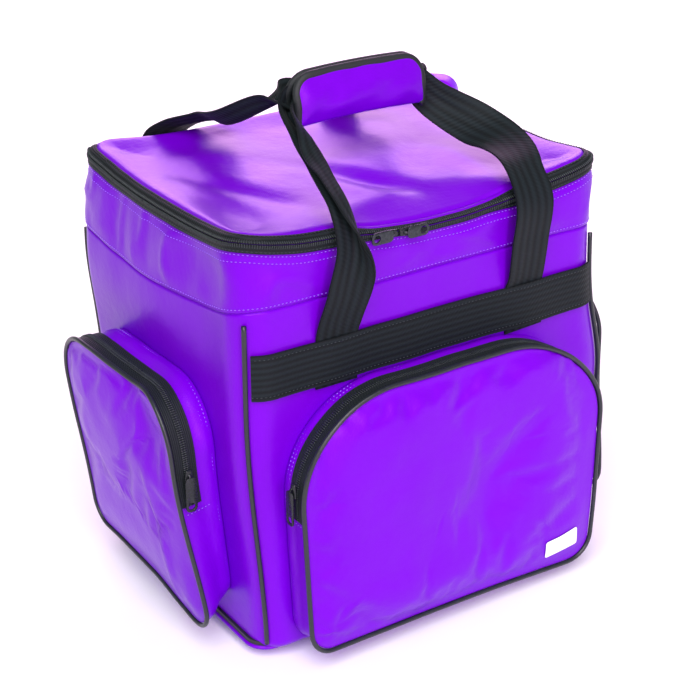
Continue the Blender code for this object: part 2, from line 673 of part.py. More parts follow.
def make_pockets():
    front = dict(half=FRONT_POCKET_HALF, low=FRONT_POCKET_LOW, high=FRONT_POCKET_HIGH,
                 top_r=FRONT_POCKET_TOP_R, u=0.0)
    side = dict(half=SIDE_POCKET_HALF, low=SIDE_POCKET_LOW, high=SIDE_POCKET_HIGH,
                top_r=SIDE_POCKET_TOP_R, u=SIDE_POCKET_Y)
    teeth_y = make_pocket("front_pocket", along_y, -1, HALF_Y, FRONT_POCKET_DEPTH, **front)
    teeth_x = make_pocket("left_pocket", along_x, -1, HALF_X, SIDE_POCKET_DEPTH, **side)
    make_pocket("right_pocket", along_x, 1, HALF_X, SIDE_POCKET_DEPTH, **side)

    down = Vector((0, 0, -1))
    outside = TAPE_THICK + GAP
    foot = Vector((-FRONT_POCKET_HALF - outside, -teeth_y, POCKET_SLIDER_Z))
    make_slider("front_pocket", down, Vector((-1, 0, 0)), foot, PULL_LENGTH)
    near = SIDE_POCKET_Y - SIDE_POCKET_HALF - outside
    for name, sign in (("left_pocket", -1), ("right_pocket", 1)):
        foot = Vector((sign * teeth_x, near, POCKET_SLIDER_Z))
        make_slider(name, down, Vector((0, -1, 0)), foot, PULL_LENGTH)


def make_main_sliders():
    wall = -HALF_Y - GAP - TAPE_THICK
    for name, side in (("main_left", -1), ("main_right", 1)):
        x = MAIN_SLIDER_X + side * (SLIDER_LENGTH / 2 + SLIDER_APART)
        foot = Vector((x, wall, ZIP_Z))
        make_slider(name, Vector((side, 0, 0)), Vector((0, -1, 0)), foot, MAIN_PULL_LENGTH)


def main():
    for old in list(bpy.data.objects):
        bpy.data.objects.remove(old, do_unlink=True)
    make_body()
    make_top("lid_panel", -1)
    make_top("top_rear_panel", 1)
    make_main_zip()
    make_corner_pipings()
    make_bands_and_anchors()
    make_carry_strap("front_carry_strap", -1)
    make_carry_strap("back_carry_strap", 1)
    make_grip_wrap()
    make_pockets()
    make_label()
    make_main_sliders()
    make_handle()
    make_casters()

    # The main box stands a little forward, so that the origin is the middle of the whole plan.
    frame = bpy.data.objects.new("bag_frame", None)
    frame.location.y = (FRONT_REACH - BACK_REACH) / 2
    for piece in bpy.context.collection.objects:
        piece.parent = frame
    bpy.context.collection.objects.link(frame)


main()
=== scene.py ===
# %% [markdown]
# # A rolling skate bag
# The bag is a soft box of coated cloth on four hidden casters. It has a zipped lid, three zipped
# pockets, two webbing carry straps that meet in a padded wrap, and a pull handle at one corner.
# The mechanical model already fixes every size, so this lesson starts by loading it, and each
# soft piece is then made around it.

# %% load the mechanical model
import json
from contextlib import contextmanager

import bmesh
import bpy
from math import atan2, cos, exp, hypot, pi, radians, sin
from mathutils import Matrix, Vector, noise
from mathutils.bvhtree import BVHTree

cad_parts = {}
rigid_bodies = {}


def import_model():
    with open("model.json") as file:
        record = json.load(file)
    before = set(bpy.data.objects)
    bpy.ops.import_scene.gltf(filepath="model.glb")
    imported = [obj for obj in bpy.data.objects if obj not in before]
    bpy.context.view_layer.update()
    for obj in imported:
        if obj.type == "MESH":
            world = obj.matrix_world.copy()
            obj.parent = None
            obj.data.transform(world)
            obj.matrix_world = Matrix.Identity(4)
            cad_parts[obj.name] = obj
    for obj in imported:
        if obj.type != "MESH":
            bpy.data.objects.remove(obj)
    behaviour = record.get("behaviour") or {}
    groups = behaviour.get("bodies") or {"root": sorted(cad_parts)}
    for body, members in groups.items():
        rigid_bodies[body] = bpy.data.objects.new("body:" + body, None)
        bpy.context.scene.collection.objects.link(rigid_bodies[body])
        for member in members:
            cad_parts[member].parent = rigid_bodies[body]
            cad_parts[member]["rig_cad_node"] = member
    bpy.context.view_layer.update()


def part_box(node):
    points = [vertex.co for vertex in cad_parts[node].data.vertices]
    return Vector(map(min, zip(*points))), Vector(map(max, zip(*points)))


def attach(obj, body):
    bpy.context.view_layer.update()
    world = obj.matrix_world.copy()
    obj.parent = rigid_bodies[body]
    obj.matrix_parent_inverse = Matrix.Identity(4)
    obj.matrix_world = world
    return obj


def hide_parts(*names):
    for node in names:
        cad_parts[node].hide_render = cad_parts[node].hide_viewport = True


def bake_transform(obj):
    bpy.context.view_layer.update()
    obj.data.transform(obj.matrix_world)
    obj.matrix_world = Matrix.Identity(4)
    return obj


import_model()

# %% [markdown]
# ## Sizes
# The places come from the boxes of the mechanical pieces. A value that isn't in a box, such as the
# radius of a corner, repeats the one that the mechanical model was made with.

# %% sizes from the model
body_low, body_high = (Vector(corner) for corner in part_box("body_shell"))
HALF_X = (body_high.x - body_low.x) / 2
HALF_Y = (body_high.y - body_low.y) / 2
MIDDLE_Y = (body_high.y + body_low.y) / 2
FRONT_Y = MIDDLE_Y - HALF_Y
FLOOR_Z = body_low.z
ZIP_Z = (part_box("zip_tape_body")[1][2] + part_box("zip_tape_lid")[0][2]) / 2
COLLAR_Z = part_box("corner_piping_fl")[1][2]
FOLD_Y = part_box("zip_tape_lid")[1][1]
CORNER_R = 0.030
BOTTOM_R = 0.009
FABRIC = 0.0025
GAP = 0.0003
TAPE_THICK = 0.0012
TAPE_HALF = 0.008
PIPING_R = 0.0022
STRAP_X = 0.100
STRAP_WIDTH = 0.042
CASTER_X = 0.130
CASTER_Y = 0.085
WELL_HOLE_R = 0.0298
MESH_STEP = 0.0042
print("box", round(2 * HALF_X, 4), round(2 * HALF_Y, 4), "zip at", round(ZIP_Z, 4))

# %% [markdown]
# ## How the full bag settles
# A stuffed bag is never the neat box that was drawn. It narrows at the foot of its left side, swells
# where the right side is full, sags along the zip between the straps, and creases. All of this is one
# function of place, so a seam, its stitches and the piping beside it move together.

# %% smooth steps and directions
def ease(low, high, value):
    t = min(max((value - low) / (high - low), 0.0), 1.0)
    return t * t * (3 - 2 * t)


def swell(value, middle, width):
    """Bell shape: 1 at its middle, and near 0 two widths away."""
    return exp(-((value - middle) / width) ** 2)


def outward(x, y):
    """Level direction away from the box's wall, which turns round its upright corners."""
    away_x = max(abs(x) - HALF_X + CORNER_R, 0.0) * (1 if x > 0 else -1)
    away_y = max(abs(y) - HALF_Y + CORNER_R, 0.0) * (1 if y > 0 else -1)
    away = Vector((away_x, away_y, 0))
    return away.normalized() if away.length > 1e-6 else away


# %% the settled shape
BROAD_WAVE = 0.0026         # height of the cloth's broad waves
FINE_WAVE = 0.0009
COLLAR_WAVE = (0.0030, 0.0026)  # on the collar, and what its left side has more
COLLAR_RIDGE = (0.0024, 0.0020)
SIDE_LEAN = -0.004          # how far the left wall stands out at its top
FOOT_TUCK = 0.016           # and how much further in its foot is
BACK_BULGE = 0.0085         # bulge of the left wall towards the back
RIGHT_FULL = 0.026          # how far the full right wall stands out
RIGHT_FULL_Z = 0.195        # height where it is fullest
RIGHT_FOOT = 0.012
ZIP_DIP = 0.010             # sag of the zip between the straps
CORNER_LIFT = 0.011         # rise of the zip at the front corners
BACK_LIFT = 0.008           # and at the back left corner
SEAM_SAG = 0.011            # sag of the collar's seam at the sides


def crease(x, y, z):
    """How far the cloth of the walls stands out of its flat place: broad waves, then finer ones."""
    place = Vector((x, y, z))
    height = BROAD_WAVE * noise.noise(place * 9 + Vector((3.1, 0.4, 7.7)))
    height += FINE_WAVE * noise.noise(Vector((x * 30, y * 30, z * 12)))
    collar = ease(COLLAR_Z, COLLAR_Z + 0.016, z) * ease(ZIP_Z - 0.004, ZIP_Z - 0.02, z)
    left = 1 - ease(-0.185, -0.12, x)
    waves = noise.noise(Vector((x * 26, y * 26 + 2, z * 9)))
    height += (COLLAR_WAVE[0] + COLLAR_WAVE[1] * left) * collar * waves
    ridge = 1 - abs(noise.noise(Vector((x * 21 + z * 9, y * 21 - z * 12, z * 14 + 4))))
    sharp = ridge ** 5 * ease(0.06, 0.16, hypot(x, y))
    height += (COLLAR_RIDGE[0] + COLLAR_RIDGE[1] * left) * collar * sharp
    return height


def settle(point):
    """Where a point of the neat box lies on the full, used bag."""
    x, y, z = point.x, point.y - MIDDLE_Y, point.z
    reach = min(abs(x) / HALF_X, 1.25) ** 2
    move = Vector((0, 0, 0))
    if x < 0:
        lean = SIDE_LEAN + FOOT_TUCK * (1 - ease(0.0, 0.26, z))
        back = ease(-0.10, 0.02, y) * swell(z, 0.318, 0.068)
        move.x = (lean * (1 - 0.6 * ease(0.34, 0.40, z)) - BACK_BULGE * back) * reach
    else:
        full = RIGHT_FULL - 0.024 * (1 - swell(z, RIGHT_FULL_Z, 0.080))
        if z < RIGHT_FULL_Z:
            full = RIGHT_FULL - RIGHT_FOOT * (1 - ease(0.0, RIGHT_FULL_Z, z))
        move.x = full * min(reach, 1.0) * (1 - ease(-0.145, -0.05, y))
    near_zip = ease(COLLAR_Z, ZIP_Z - 0.012, z)
    front = 1 - ease(-HALF_Y, -HALF_Y + 0.06, y)
    corner = hypot(abs(x) - HALF_X, y + HALF_Y)
    lift = CORNER_LIFT * swell(corner, 0, 0.045) + 0.003 * (1 - front)
    lift += BACK_LIFT * swell(hypot(x + HALF_X, y - HALF_Y), 0, 0.06)
    lift -= ZIP_DIP * front * max(0.0, 1 - ((x - 0.012) / 0.105) ** 2)
    sides = ease(0.80, 1.0, abs(x) / HALF_X)
    seam = 0.004 * front - SEAM_SAG * sides * max(0.0, 1 - (y / HALF_Y) ** 2)
    move.z = near_zip * lift + seam * swell(z, COLLAR_Z, 0.05) * (1 - near_zip)
    wall_x = min(max(x, -HALF_X), HALF_X)
    wall_y = min(max(y, -HALF_Y), HALF_Y)
    fade = ease(FLOOR_Z, FLOOR_Z + 0.03, z)
    move += outward(x, y) * crease(wall_x, wall_y, z) * fade
    return point + move


print("zip line dips to", round(settle(Vector((0, FRONT_Y, ZIP_Z))).z, 4))

# %% [markdown]
# ## Tools of the sewing room
# Cloth is made as a skin over closed rings, as a flat strip with a thickness, or as a tube along a
# path. Each tool gives an object at the origin whose place is in its mesh. A strip also gets a map in
# metres, along and across, so that a weave can follow it round a bend.

# %% skins, strips and tubes
def only(piece):
    bpy.ops.object.select_all(action="DESELECT")
    piece.select_set(True)
    bpy.context.view_layer.objects.active = piece


def link(item):
    bpy.context.scene.collection.objects.link(item)
    return item


def mesh_piece(name, vertices, faces, look, body):
    mesh = bpy.data.meshes.new(name)
    mesh.from_pydata([tuple(v) for v in vertices], [], faces)
    mesh.update()
    mesh.shade_smooth()
    piece = link(bpy.data.objects.new(name, mesh))
    mesh.materials.append(look)
    if body:
        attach(piece, body)
    return piece


def apply_modifier(piece, kind, **settings):
    modifier = piece.modifiers.new(kind.lower(), kind)
    for key, value in settings.items():
        setattr(modifier, key, value)
    only(piece)
    bpy.ops.object.modifier_apply(modifier=modifier.name)


@contextmanager
def edited(piece):
    """The piece's mesh open for an edit, which is written back at the end."""
    shape = bmesh.new()
    shape.from_mesh(piece.data)
    yield shape
    shape.to_mesh(piece.data)
    shape.free()


def tidy_mesh(piece, distance=0.0002):
    with edited(piece) as shape:
        bmesh.ops.remove_doubles(shape, verts=shape.verts, dist=distance)
        bmesh.ops.dissolve_degenerate(shape, edges=shape.edges, dist=1e-5)


def face_outwards(piece):
    with edited(piece) as shape:
        bmesh.ops.recalc_face_normals(shape, faces=shape.faces)


def skin(name, rings, look, body, caps=False):
    """Skin of closed rings with equal numbers of points."""
    count = len(rings[0])
    faces = []
    for i in range(len(rings) - 1):
        for j in range(count):
            k = (j + 1) % count
            faces.append((i * count + j, i * count + k, (i + 1) * count + k, (i + 1) * count + j))
    if caps:
        last = (len(rings) - 1) * count
        faces.append(tuple(range(count))[::-1])
        faces.append(tuple(last + j for j in range(count)))
    piece = mesh_piece(name, [p for ring in rings for p in ring], faces, look, body)
    tidy_mesh(piece)
    return piece


def strip(name, rows, thick, look, body, loop=False):
    """Closed flat strip: rows run along it, and each row's points run across it."""
    long, wide = len(rows), len(rows[0])
    normals = []
    for i in range(long):
        before = rows[(i - 1) % long if loop else max(i - 1, 0)]
        after = rows[(i + 1) % long if loop else min(i + 1, long - 1)]
        for j in range(wide):
            run = after[j] - before[j]
            across = rows[i][min(j + 1, wide - 1)] - rows[i][max(j - 1, 0)]
            normals.append(across.cross(run).normalized())
    flat = [p for row in rows for p in row]
    vertices = [p + n * thick / 2 for p, n in zip(flat, normals)]
    vertices += [p - n * thick / 2 for p, n in zip(flat, normals)]
    back = len(flat)
    faces = []
    for i in range(long if loop else long - 1):
        a, b = i * wide, ((i + 1) % long) * wide
        for j in range(wide - 1):
            faces.append((a + j, a + j + 1, b + j + 1, b + j))
            faces.append((back + a + j, back + b + j, back + b + j + 1, back + a + j + 1))
        faces.append((a, b, back + b, back + a))
        faces.append((a + wide - 1, back + a + wide - 1, back + b + wide - 1, b + wide - 1))
    if not loop:
        last = (long - 1) * wide
        for j in range(wide - 1):
            faces.append((j, back + j, back + j + 1, j + 1))
            faces.append((last + j, last + j + 1, back + last + j + 1, back + last + j))
    piece = mesh_piece(name, vertices, faces, look, body)
    along, across = [0.0], [0.0]
    for i in range(1, long):
        along.append(along[-1] + (rows[i][wide // 2] - rows[i - 1][wide // 2]).length)
    middle = long // 2
    for j in range(1, wide):
        across.append(across[-1] + (rows[middle][j] - rows[middle][j - 1]).length)
    cover = piece.data.uv_layers.new(name="strip_map")
    for corner in piece.data.loops:
        number = corner.vertex_index % back
        cover.data[corner.index].uv = (along[number // wide], across[number % wide])
    piece.data.set_sharp_from_angle(angle=radians(50))
    return piece


def tube(name, points, radius, look, body, loop=False, sides=12, flat=1.0, level=None):
    """Round tube along points. A flat under 1 thins it across the level direction."""
    rings = []
    count = len(points)
    up = Vector((0, 0, 1))
    for i, point in enumerate(points):
        before = points[(i - 1) % count if loop else max(i - 1, 0)]
        after = points[(i + 1) % count if loop else min(i + 1, count - 1)]
        run = (after - before).normalized()
        side = level if level else (run.cross(up) if abs(run.z) < 0.95 else Vector((0, 1, 0)))
        side = (side - run * side.dot(run)).normalized()
        rise = run.cross(side)
        ring = []
        for k in range(sides):
            angle = 2 * pi * k / sides
            ring.append(point + side * cos(angle) * radius * flat + rise * sin(angle) * radius)
        rings.append(ring)
    if loop:
        rings.append(rings[0])
    return skin(name, rings, look, body, caps=not loop)


# %% [markdown]
# Seams show as short raised stitches, and a coil zip as rows of small teeth. Both are hundreds of the
# same small shape set along a path, so each one has only a few faces.

# %% stitches and teeth
def spaced(points, step):
    """Points at equal steps along a path, each with the path's direction there."""
    found, left = [], step / 2
    for a, b in zip(points, points[1:]):
        span = (b - a).length
        while left <= span and span > 0:
            found.append((a + (b - a) * left / span, (b - a) / span))
            left += step
        left -= span
    return found


def stitches(name, points, body, look, out, pitch=0.0038, long=0.0026, thick=0.00045):
    """Row of stitches; out gives the direction away from the cloth at a point."""
    vertices, faces = [], []
    for place, run in spaced(points, pitch):
        away = out(place)
        side = run.cross(away).normalized()
        start = len(vertices)
        vertices += [place - run * long / 2, place + run * long / 2]
        vertices += [place + side * thick, place + away * thick * 1.6,
                     place - side * thick, place - away * thick]
        for k in range(4):
            near, far = start + 2 + k, start + 2 + (k + 1) % 4
            faces += [(start, far, near), (start + 1, near, far)]
    return mesh_piece(name, vertices, faces, look, body)


def teeth(name, points, body, look, out, shift=0.0, long=0.0030):
    """One side of a coil zip: rounded teeth that point across the tape."""
    pitch, wide, high = 0.0021, 0.00062, 0.0008
    vertices, faces = [], []
    for place, run in spaced(points, pitch):
        away = out(place)
        across = run.cross(away).normalized()
        middle = place + across * shift
        start = len(vertices)
        for u, grow in ((-0.5, 0.55), (-0.2, 1.0), (0.3, 1.0), (0.5, 0.6)):
            for v, w in ((-1, 0), (0, 1), (1, 0), (0, -0.6)):
                vertices.append(middle + across * u * long + run * v * wide * grow
                                + away * w * high * grow)
        for a in (0, 4, 8):
            for k in range(4):
                n = (k + 1) % 4
                faces.append((start + a + k, start + a + 4 + k, start + a + 4 + n, start + a + n))
        faces += [(start, start + 1, start + 2, start + 3),
                  (start + 15, start + 14, start + 13, start + 12)]
    piece = mesh_piece(name, vertices, faces, look, body)
    face_outwards(piece)
    return piece


LEFT, RIGHT, FORWARD = Vector((-1, 0, 0)), Vector((1, 0, 0)), Vector((0, -1, 0))
UP, DOWN = Vector((0, 0, 1)), Vector((0, 0, -1))


def wall_out(place):
    return outward(place.x, place.y - MIDDLE_Y)


# %% [markdown]
# ## Finishes
# Each finish starts from what the real one is. Colours are the usual sRGB codes, turned to linear
# light by one function, and one small function adds a node with its settings and links.

# %% material tools
def linear(code):
    """Linear red, green, blue and alpha of an sRGB hex code."""
    parts = [int(code[i:i + 2], 16) / 255 for i in (1, 3, 5)]
    return [p / 12.92 if p <= 0.04045 else ((p + 0.055) / 1.055) ** 2.4 for p in parts] + [1.0]


def add_node(material, kind, settings=None, links=None):
    """Add a node. Settings name its inputs or its own fields; links name inputs and their sources."""
    tree = material.node_tree
    node = tree.nodes.new(kind)
    for key, value in (settings or {}).items():
        if key in node.inputs:
            node.inputs[key].default_value = value
        else:
            setattr(node, key, value)
    for key, source in (links or {}).items():
        tree.links.new(source, node.inputs[key])
    return node


def finish_of(name, colour, roughness, **more):
    """New material with a Principled BSDF; more names further inputs with _ for a space."""
    material = bpy.data.materials.new(name)
    material.use_nodes = True
    shader = material.node_tree.nodes["Principled BSDF"]
    shader.inputs["Base Color"].default_value = linear(colour)
    shader.inputs["Roughness"].default_value = roughness
    for key, value in more.items():
        shader.inputs[key.replace("_", " ")].default_value = value
    return material, shader


def connect(material, source, shader, name):
    material.node_tree.links.new(source, shader.inputs[name])


MM = 0.001
MIX_A, MIX_B, MIX_RESULT = 6, 7, 2  # a Mix node's sockets for colours


def vary_colour(material, shader, factor, dark, light):
    shade = add_node(material, "ShaderNodeMix", {"data_type": "RGBA"}, {"Factor": factor})
    shade.inputs[MIX_A].default_value = linear(dark)
    shade.inputs[MIX_B].default_value = linear(light)
    connect(material, shade.outputs[MIX_RESULT], shader, "Base Color")


def vary_gloss(material, shader, factor, low, high):
    gloss = add_node(material, "ShaderNodeMapRange", {"To Min": low, "To Max": high}, {"Value": factor})
    connect(material, gloss.outputs["Result"], shader, "Roughness")


def relief(material, height, strength, depth_mm, under=None):
    """Bump node over the one under it."""
    links = {"Height": height}
    if under:
        links["Normal"] = under.outputs["Normal"]
    return add_node(material, "ShaderNodeBump", {"Strength": strength, "Distance": depth_mm * MM}, links)


def waves_per(millimetres):
    """Scale that gives a wave texture one band for each stretch of that many millimetres."""
    return 2 * pi / (20 * millimetres * MM)


# %% [markdown]
# Coated polyester is a plain weave with a glossy film on its face. The film fills the weave, so it
# shows soft highlights and small puckers more than threads. The real threads are 0.3 mm apart, too
# fine to show, so they are drawn 1.3 mm apart and shallow.

# %% coated cloth
def coated_cloth(name, colour, deep, roughness):
    made, shader = finish_of(name, colour, roughness, Specular_IOR_Level=0.32,
                             Specular_Tint=(1.0, 0.22, 1.0, 1.0), Coat_Weight=0.035,
                             Coat_Roughness=0.18)
    place = add_node(made, "ShaderNodeTexCoord").outputs["Object"]
    patches = add_node(made, "ShaderNodeTexNoise", {"Scale": 14.0, "Detail": 3.0}, {"Vector": place})
    vary_colour(made, shader, patches.outputs["Fac"], deep, colour)
    vary_gloss(made, shader, patches.outputs["Fac"], roughness - 0.07, roughness + 0.09)
    puckers = add_node(made, "ShaderNodeTexNoise", {"Scale": 85.0, "Detail": 4.0, "Roughness": 0.55},
                       {"Vector": place})
    surface = relief(made, puckers.outputs["Fac"], 0.35, 1.2)
    for axis in ("X", "Y", "Z"):
        wave = add_node(made, "ShaderNodeTexWave", {"bands_direction": axis, "Scale": waves_per(1.3)},
                        {"Vector": place})
        surface = relief(made, wave.outputs["Fac"], 0.10, 0.25, surface)
    connect(made, surface.outputs["Normal"], shader, "Normal")
    return made


violet_cloth = coated_cloth("violet PU coated polyester", "#6E00C6", "#6600BC", 0.34)
lining_cloth = coated_cloth("dark nylon lining", "#3A2C55", "#2C2142", 0.60)

# %% [markdown]
# The carry straps are woven polypropylene webbing. Heavy webbing has ribs along its length and a
# twill across them; its yarns scatter light, so it is matt with a faint sheen. The strip's own map
# gives metres along and across, so the ribs stay straight round a fold.

# %% webbing
def webbing(name, colour, light, ribs_mm, twill_mm, roughness=0.62):
    made, shader = finish_of(name, colour, roughness, Sheen_Weight=0.03, Sheen_Roughness=0.45,
                             Specular_IOR_Level=0.15)
    over = add_node(made, "ShaderNodeUVMap", {"uv_map": "strip_map"}).outputs["UV"]
    ribs = add_node(made, "ShaderNodeTexWave", {"bands_direction": "Y", "Scale": waves_per(ribs_mm)},
                    {"Vector": over})
    twill = add_node(made, "ShaderNodeTexWave",
                     {"bands_direction": "DIAGONAL", "Scale": waves_per(twill_mm), "Distortion": 0.6},
                     {"Vector": over})
    # The same rib wave paints the colour: lighter on the rib tops and darker in their hollows, as painted
    # highlight and painted shade.
    vary_colour(made, shader, ribs.outputs["Fac"], colour, light)
    surface = relief(made, ribs.outputs["Fac"], 0.5, 0.5)
    surface = relief(made, twill.outputs["Fac"], 0.5, 0.3, surface)
    connect(made, surface.outputs["Normal"], shader, "Normal")
    return made


# The second, lighter colour of each webbing is painted highlight on its rib tops, and the first is the
# painted shade between them.
strap_webbing = webbing("slate polypropylene webbing", "#0D1315", "#172023", 5.6, 2.2)
zip_tape = webbing("black woven zip tape", "#101416", "#1F2629", 1.9, 1.4, 0.50)

# %% [markdown]
# Piping is a cord covered in the same coated cloth, in black. The wrap's edge binding is a black
# grosgrain. Zip teeth are extruded nylon monofilament, harder and glossier than any cloth. Thread is
# bonded polyester in a lighter violet.

# %% trims, thread and teeth
def grainy(name, colour, light, roughness, grain_mm, depth_mm, **more):
    """Finish whose colour, gloss and surface follow one fine grain."""
    made, shader = finish_of(name, colour, roughness, **more)
    place = add_node(made, "ShaderNodeTexCoord").outputs["Object"]
    grain = add_node(made, "ShaderNodeTexNoise", {"Scale": 1 / (grain_mm * MM), "Detail": 3.0},
                     {"Vector": place})
    vary_colour(made, shader, grain.outputs["Fac"], colour, light)
    vary_gloss(made, shader, grain.outputs["Fac"], roughness - 0.08, roughness + 0.08)
    surface = relief(made, grain.outputs["Fac"], 0.4, depth_mm)
    connect(made, surface.outputs["Normal"], shader, "Normal")
    return made


piping_vinyl = grainy("black vinyl piping", "#0E1214", "#252D31", 0.36, 3.0, 0.4)
binding_tape = grainy("black grosgrain binding", "#0C1012", "#1C2326", 0.62, 1.6, 0.5)
nylon_teeth = grainy("black nylon zip coil", "#15191B", "#3A4245", 0.30, 4.0, 0.1)
violet_thread = grainy("violet bonded thread", "#8A4CE8", "#B080FF", 0.50, 1.5, 0.1)
black_thread = grainy("black bonded thread", "#20262A", "#3A4448", 0.50, 1.5, 0.1)
zip_metal = grainy("black enamelled zinc", "#15181A", "#2B3033", 0.28, 2.2, 0.15, Metallic=0.35)
gun_metal = grainy("gunmetal plated zinc", "#24282B", "#4E5458", 0.26, 2.2, 0.1, Metallic=0.9)
violet_plastic = grainy("moulded violet polypropylene", "#7A04DC", "#8A10F4", 0.36, 1.4, 0.12,
                        Specular_IOR_Level=0.3, Specular_Tint=(1.0, 0.3, 1.0, 1.0))
black_plastic = grainy("moulded black nylon", "#17191B", "#232628", 0.45, 1.2, 0.15)
tube_metal = grainy("satin anodised aluminium", "#8E9396", "#A9AEB1", 0.34, 0.9, 0.05, Metallic=1.0)
plated_steel = grainy("zinc plated steel", "#A5A8AA", "#BDC1C3", 0.30, 2.5, 0.08, Metallic=1.0)
wheel_rubber = grainy("grey polyurethane tyre", "#3A3D40", "#4A4E51", 0.55, 2.0, 0.2)
patch_rubber = grainy("soft white patch", "#EEF4EC", "#FBFFF9", 0.42, 2.0, 0.12)
print("finishes:", len(bpy.data.materials))

# %% [markdown]
# ## The body
# The walls and the collar above them are one skin: rings of the box's plan, from the bottom edge up
# to the zip. The rings stand close together at the collar's seam, where the cloth dips into a narrow
# groove. The skin then gets its thickness, inwards, with a dark lining.

# %% plan outline of the box
def rounded_outline(half_u, low_v, high_v, radii, steps, sides, inset):
    """Closed outline, anticlockwise from its lower left corner, with the same points at any inset."""
    corners = ((-1, 0, pi), (1, 0, 1.5 * pi), (1, 1, 0.0), (-1, 1, 0.5 * pi))
    arcs = []
    for (side, top, start), radius, count in zip(corners, radii, steps):
        r = max(radius - inset, 0.0)
        u = side * max(half_u - inset - r, 0.0)
        v = high_v - inset - r if top else low_v + inset + r
        arcs.append([(u + r * cos(start + pi / 2 * i / count), v + r * sin(start + pi / 2 * i / count))
                     for i in range(count + 1)])
    outline = []
    for number, (arc, count) in enumerate(zip(arcs, sides)):
        a, b = arc[-1], arcs[(number + 1) % 4][0]
        outline += arc
        outline += [(a[0] + (b[0] - a[0]) * i / count, a[1] + (b[1] - a[1]) * i / count)
                    for i in range(1, count)]
    return outline


def counts(length):
    return max(2, round(length / MESH_STEP))


def box_ring(inset, z):
    """Ring of the box's plan at a height, before the bag settles."""
    corner = 12
    across = counts(2 * (HALF_X - CORNER_R))
    deep = counts(2 * (HALF_Y - CORNER_R))
    outline = rounded_outline(HALF_X, MIDDLE_Y - HALF_Y, MIDDLE_Y + HALF_Y, (CORNER_R,) * 4,
                              (corner,) * 4, (across, deep, across, deep), inset)
    return [Vector((u, v, z)) for u, v in outline]


# %% body skin
NEAR_SEAM = (-0.004, -0.002, -0.0012, -0.0005, 0.0, 0.0005, 0.0012, 0.002, 0.004)
SEAM_GROOVE = 0.0016
COLLAR_PROUD = 0.0009       # the collar's cloth stands out over the walls'


def body_levels():
    """Inset and height of each ring of the body's skin, from the bottom edge up to the zip."""
    levels = [(BOTTOM_R * (1 - sin(a)), FLOOR_Z + BOTTOM_R * (1 - cos(a)))
              for a in [pi / 2 * i / 5 for i in range(6)]]
    z = FLOOR_Z + BOTTOM_R + MESH_STEP
    while z < COLLAR_Z - 0.006:
        levels.append((0.0, z))
        z += MESH_STEP
    for step in NEAR_SEAM:
        groove = SEAM_GROOVE * swell(step, 0, 0.0009)
        proud = COLLAR_PROUD * ease(-0.001, 0.003, step)
        levels.append((groove - proud, COLLAR_Z + step))
    z = COLLAR_Z + 0.008
    while z < ZIP_Z - 0.003:
        levels.append((-COLLAR_PROUD * ease(ZIP_Z - 0.009, ZIP_Z - 0.013, z), z))
        z += MESH_STEP
    levels.append((0.0, ZIP_Z - GAP))
    return levels


def add_lining(cloth, thick):
    """Give a skin its thickness, inwards, with the lining as its inner face."""
    cloth.data.materials.append(lining_cloth)
    apply_modifier(cloth, "SOLIDIFY", thickness=thick, offset=-1.0, material_offset=1)


rings = [[settle(p) for p in box_ring(inset, z)] for inset, z in body_levels()]
body_cloth = skin("body_cloth", rings, violet_cloth, "bag")
add_lining(body_cloth, FABRIC)
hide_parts("body_shell")
print("body faces", len(body_cloth.data.polygons))

# %% [markdown]
# The bottom is a plain panel of the same cloth under the stiff board, with a round hole for each
# caster. A plate is cut by four cylinders.

# %% bottom panel
def make_bottom():
    low, high = FLOOR_Z - 0.0004, FLOOR_Z + 0.0018
    inset = BOTTOM_R - 0.0012
    panel = skin("bottom_panel", [box_ring(inset, low), box_ring(inset, high)], violet_cloth, "bag",
                 caps=True)
    for side_x, side_y in ((-1, -1), (1, -1), (-1, 1), (1, 1)):
        bpy.ops.object.select_all(action="DESELECT")
        bpy.ops.mesh.primitive_cylinder_add(
            vertices=48, radius=WELL_HOLE_R, depth=0.02,
            location=(side_x * CASTER_X, MIDDLE_Y + side_y * CASTER_Y, FLOOR_Z))
        cutter = bpy.context.object
        apply_modifier(panel, "BOOLEAN", operation="DIFFERENCE", object=cutter, solver="EXACT")
        bpy.data.objects.remove(cutter, do_unlink=True)


make_bottom()

# %% [markdown]
# ## Cloth that is filled
# The three pockets are puffed up by a short cloth simulation: the seams and the label are pinned,
# air pressure pushes the cloth between them outwards, and how far a point may go is capped. The
# result is applied, so only the shape stays.

# %% the air cushion
PUFF_FRAMES = 20
PUFF_STRETCH = 0.02


def puff(piece, pinned, pressure, cap):
    """Blow up a piece by cloth simulation. Pinned says whether a vertex is held by a seam."""
    scene = bpy.context.scene
    group = piece.vertex_groups.new(name="seams")
    group.add([v.index for v in piece.data.vertices if pinned(v.co)], 1.0, "REPLACE")
    start = [v.co.copy() for v in piece.data.vertices]
    cloth = piece.modifiers.new("air", "CLOTH")
    settings = cloth.settings
    settings.quality = 5
    settings.mass = 0.25
    settings.tension_stiffness = 12
    settings.compression_stiffness = 8
    settings.shear_stiffness = 6
    settings.bending_stiffness = 0.3
    settings.use_pressure = True
    settings.uniform_pressure_force = pressure
    settings.shrink_min = -PUFF_STRETCH
    settings.vertex_group_mass = "seams"
    settings.effector_weights.gravity = 0
    cloth.collision_settings.use_collision = False
    cloth.point_cache.frame_start = 1
    cloth.point_cache.frame_end = PUFF_FRAMES
    for number in range(1, PUFF_FRAMES + 1):
        scene.frame_set(number)
    only(piece)
    bpy.ops.object.modifier_apply(modifier=cloth.name)
    scene.frame_set(1)
    furthest = 0.0
    for vertex, place in zip(piece.data.vertices, start):
        move = vertex.co - place
        furthest = max(furthest, move.length)
        if move.length > cap:
            vertex.co = place + move * (cap / move.length)
    piece.vertex_groups.clear()
    print("puffed", piece.name, "by up to", round(furthest, 4))
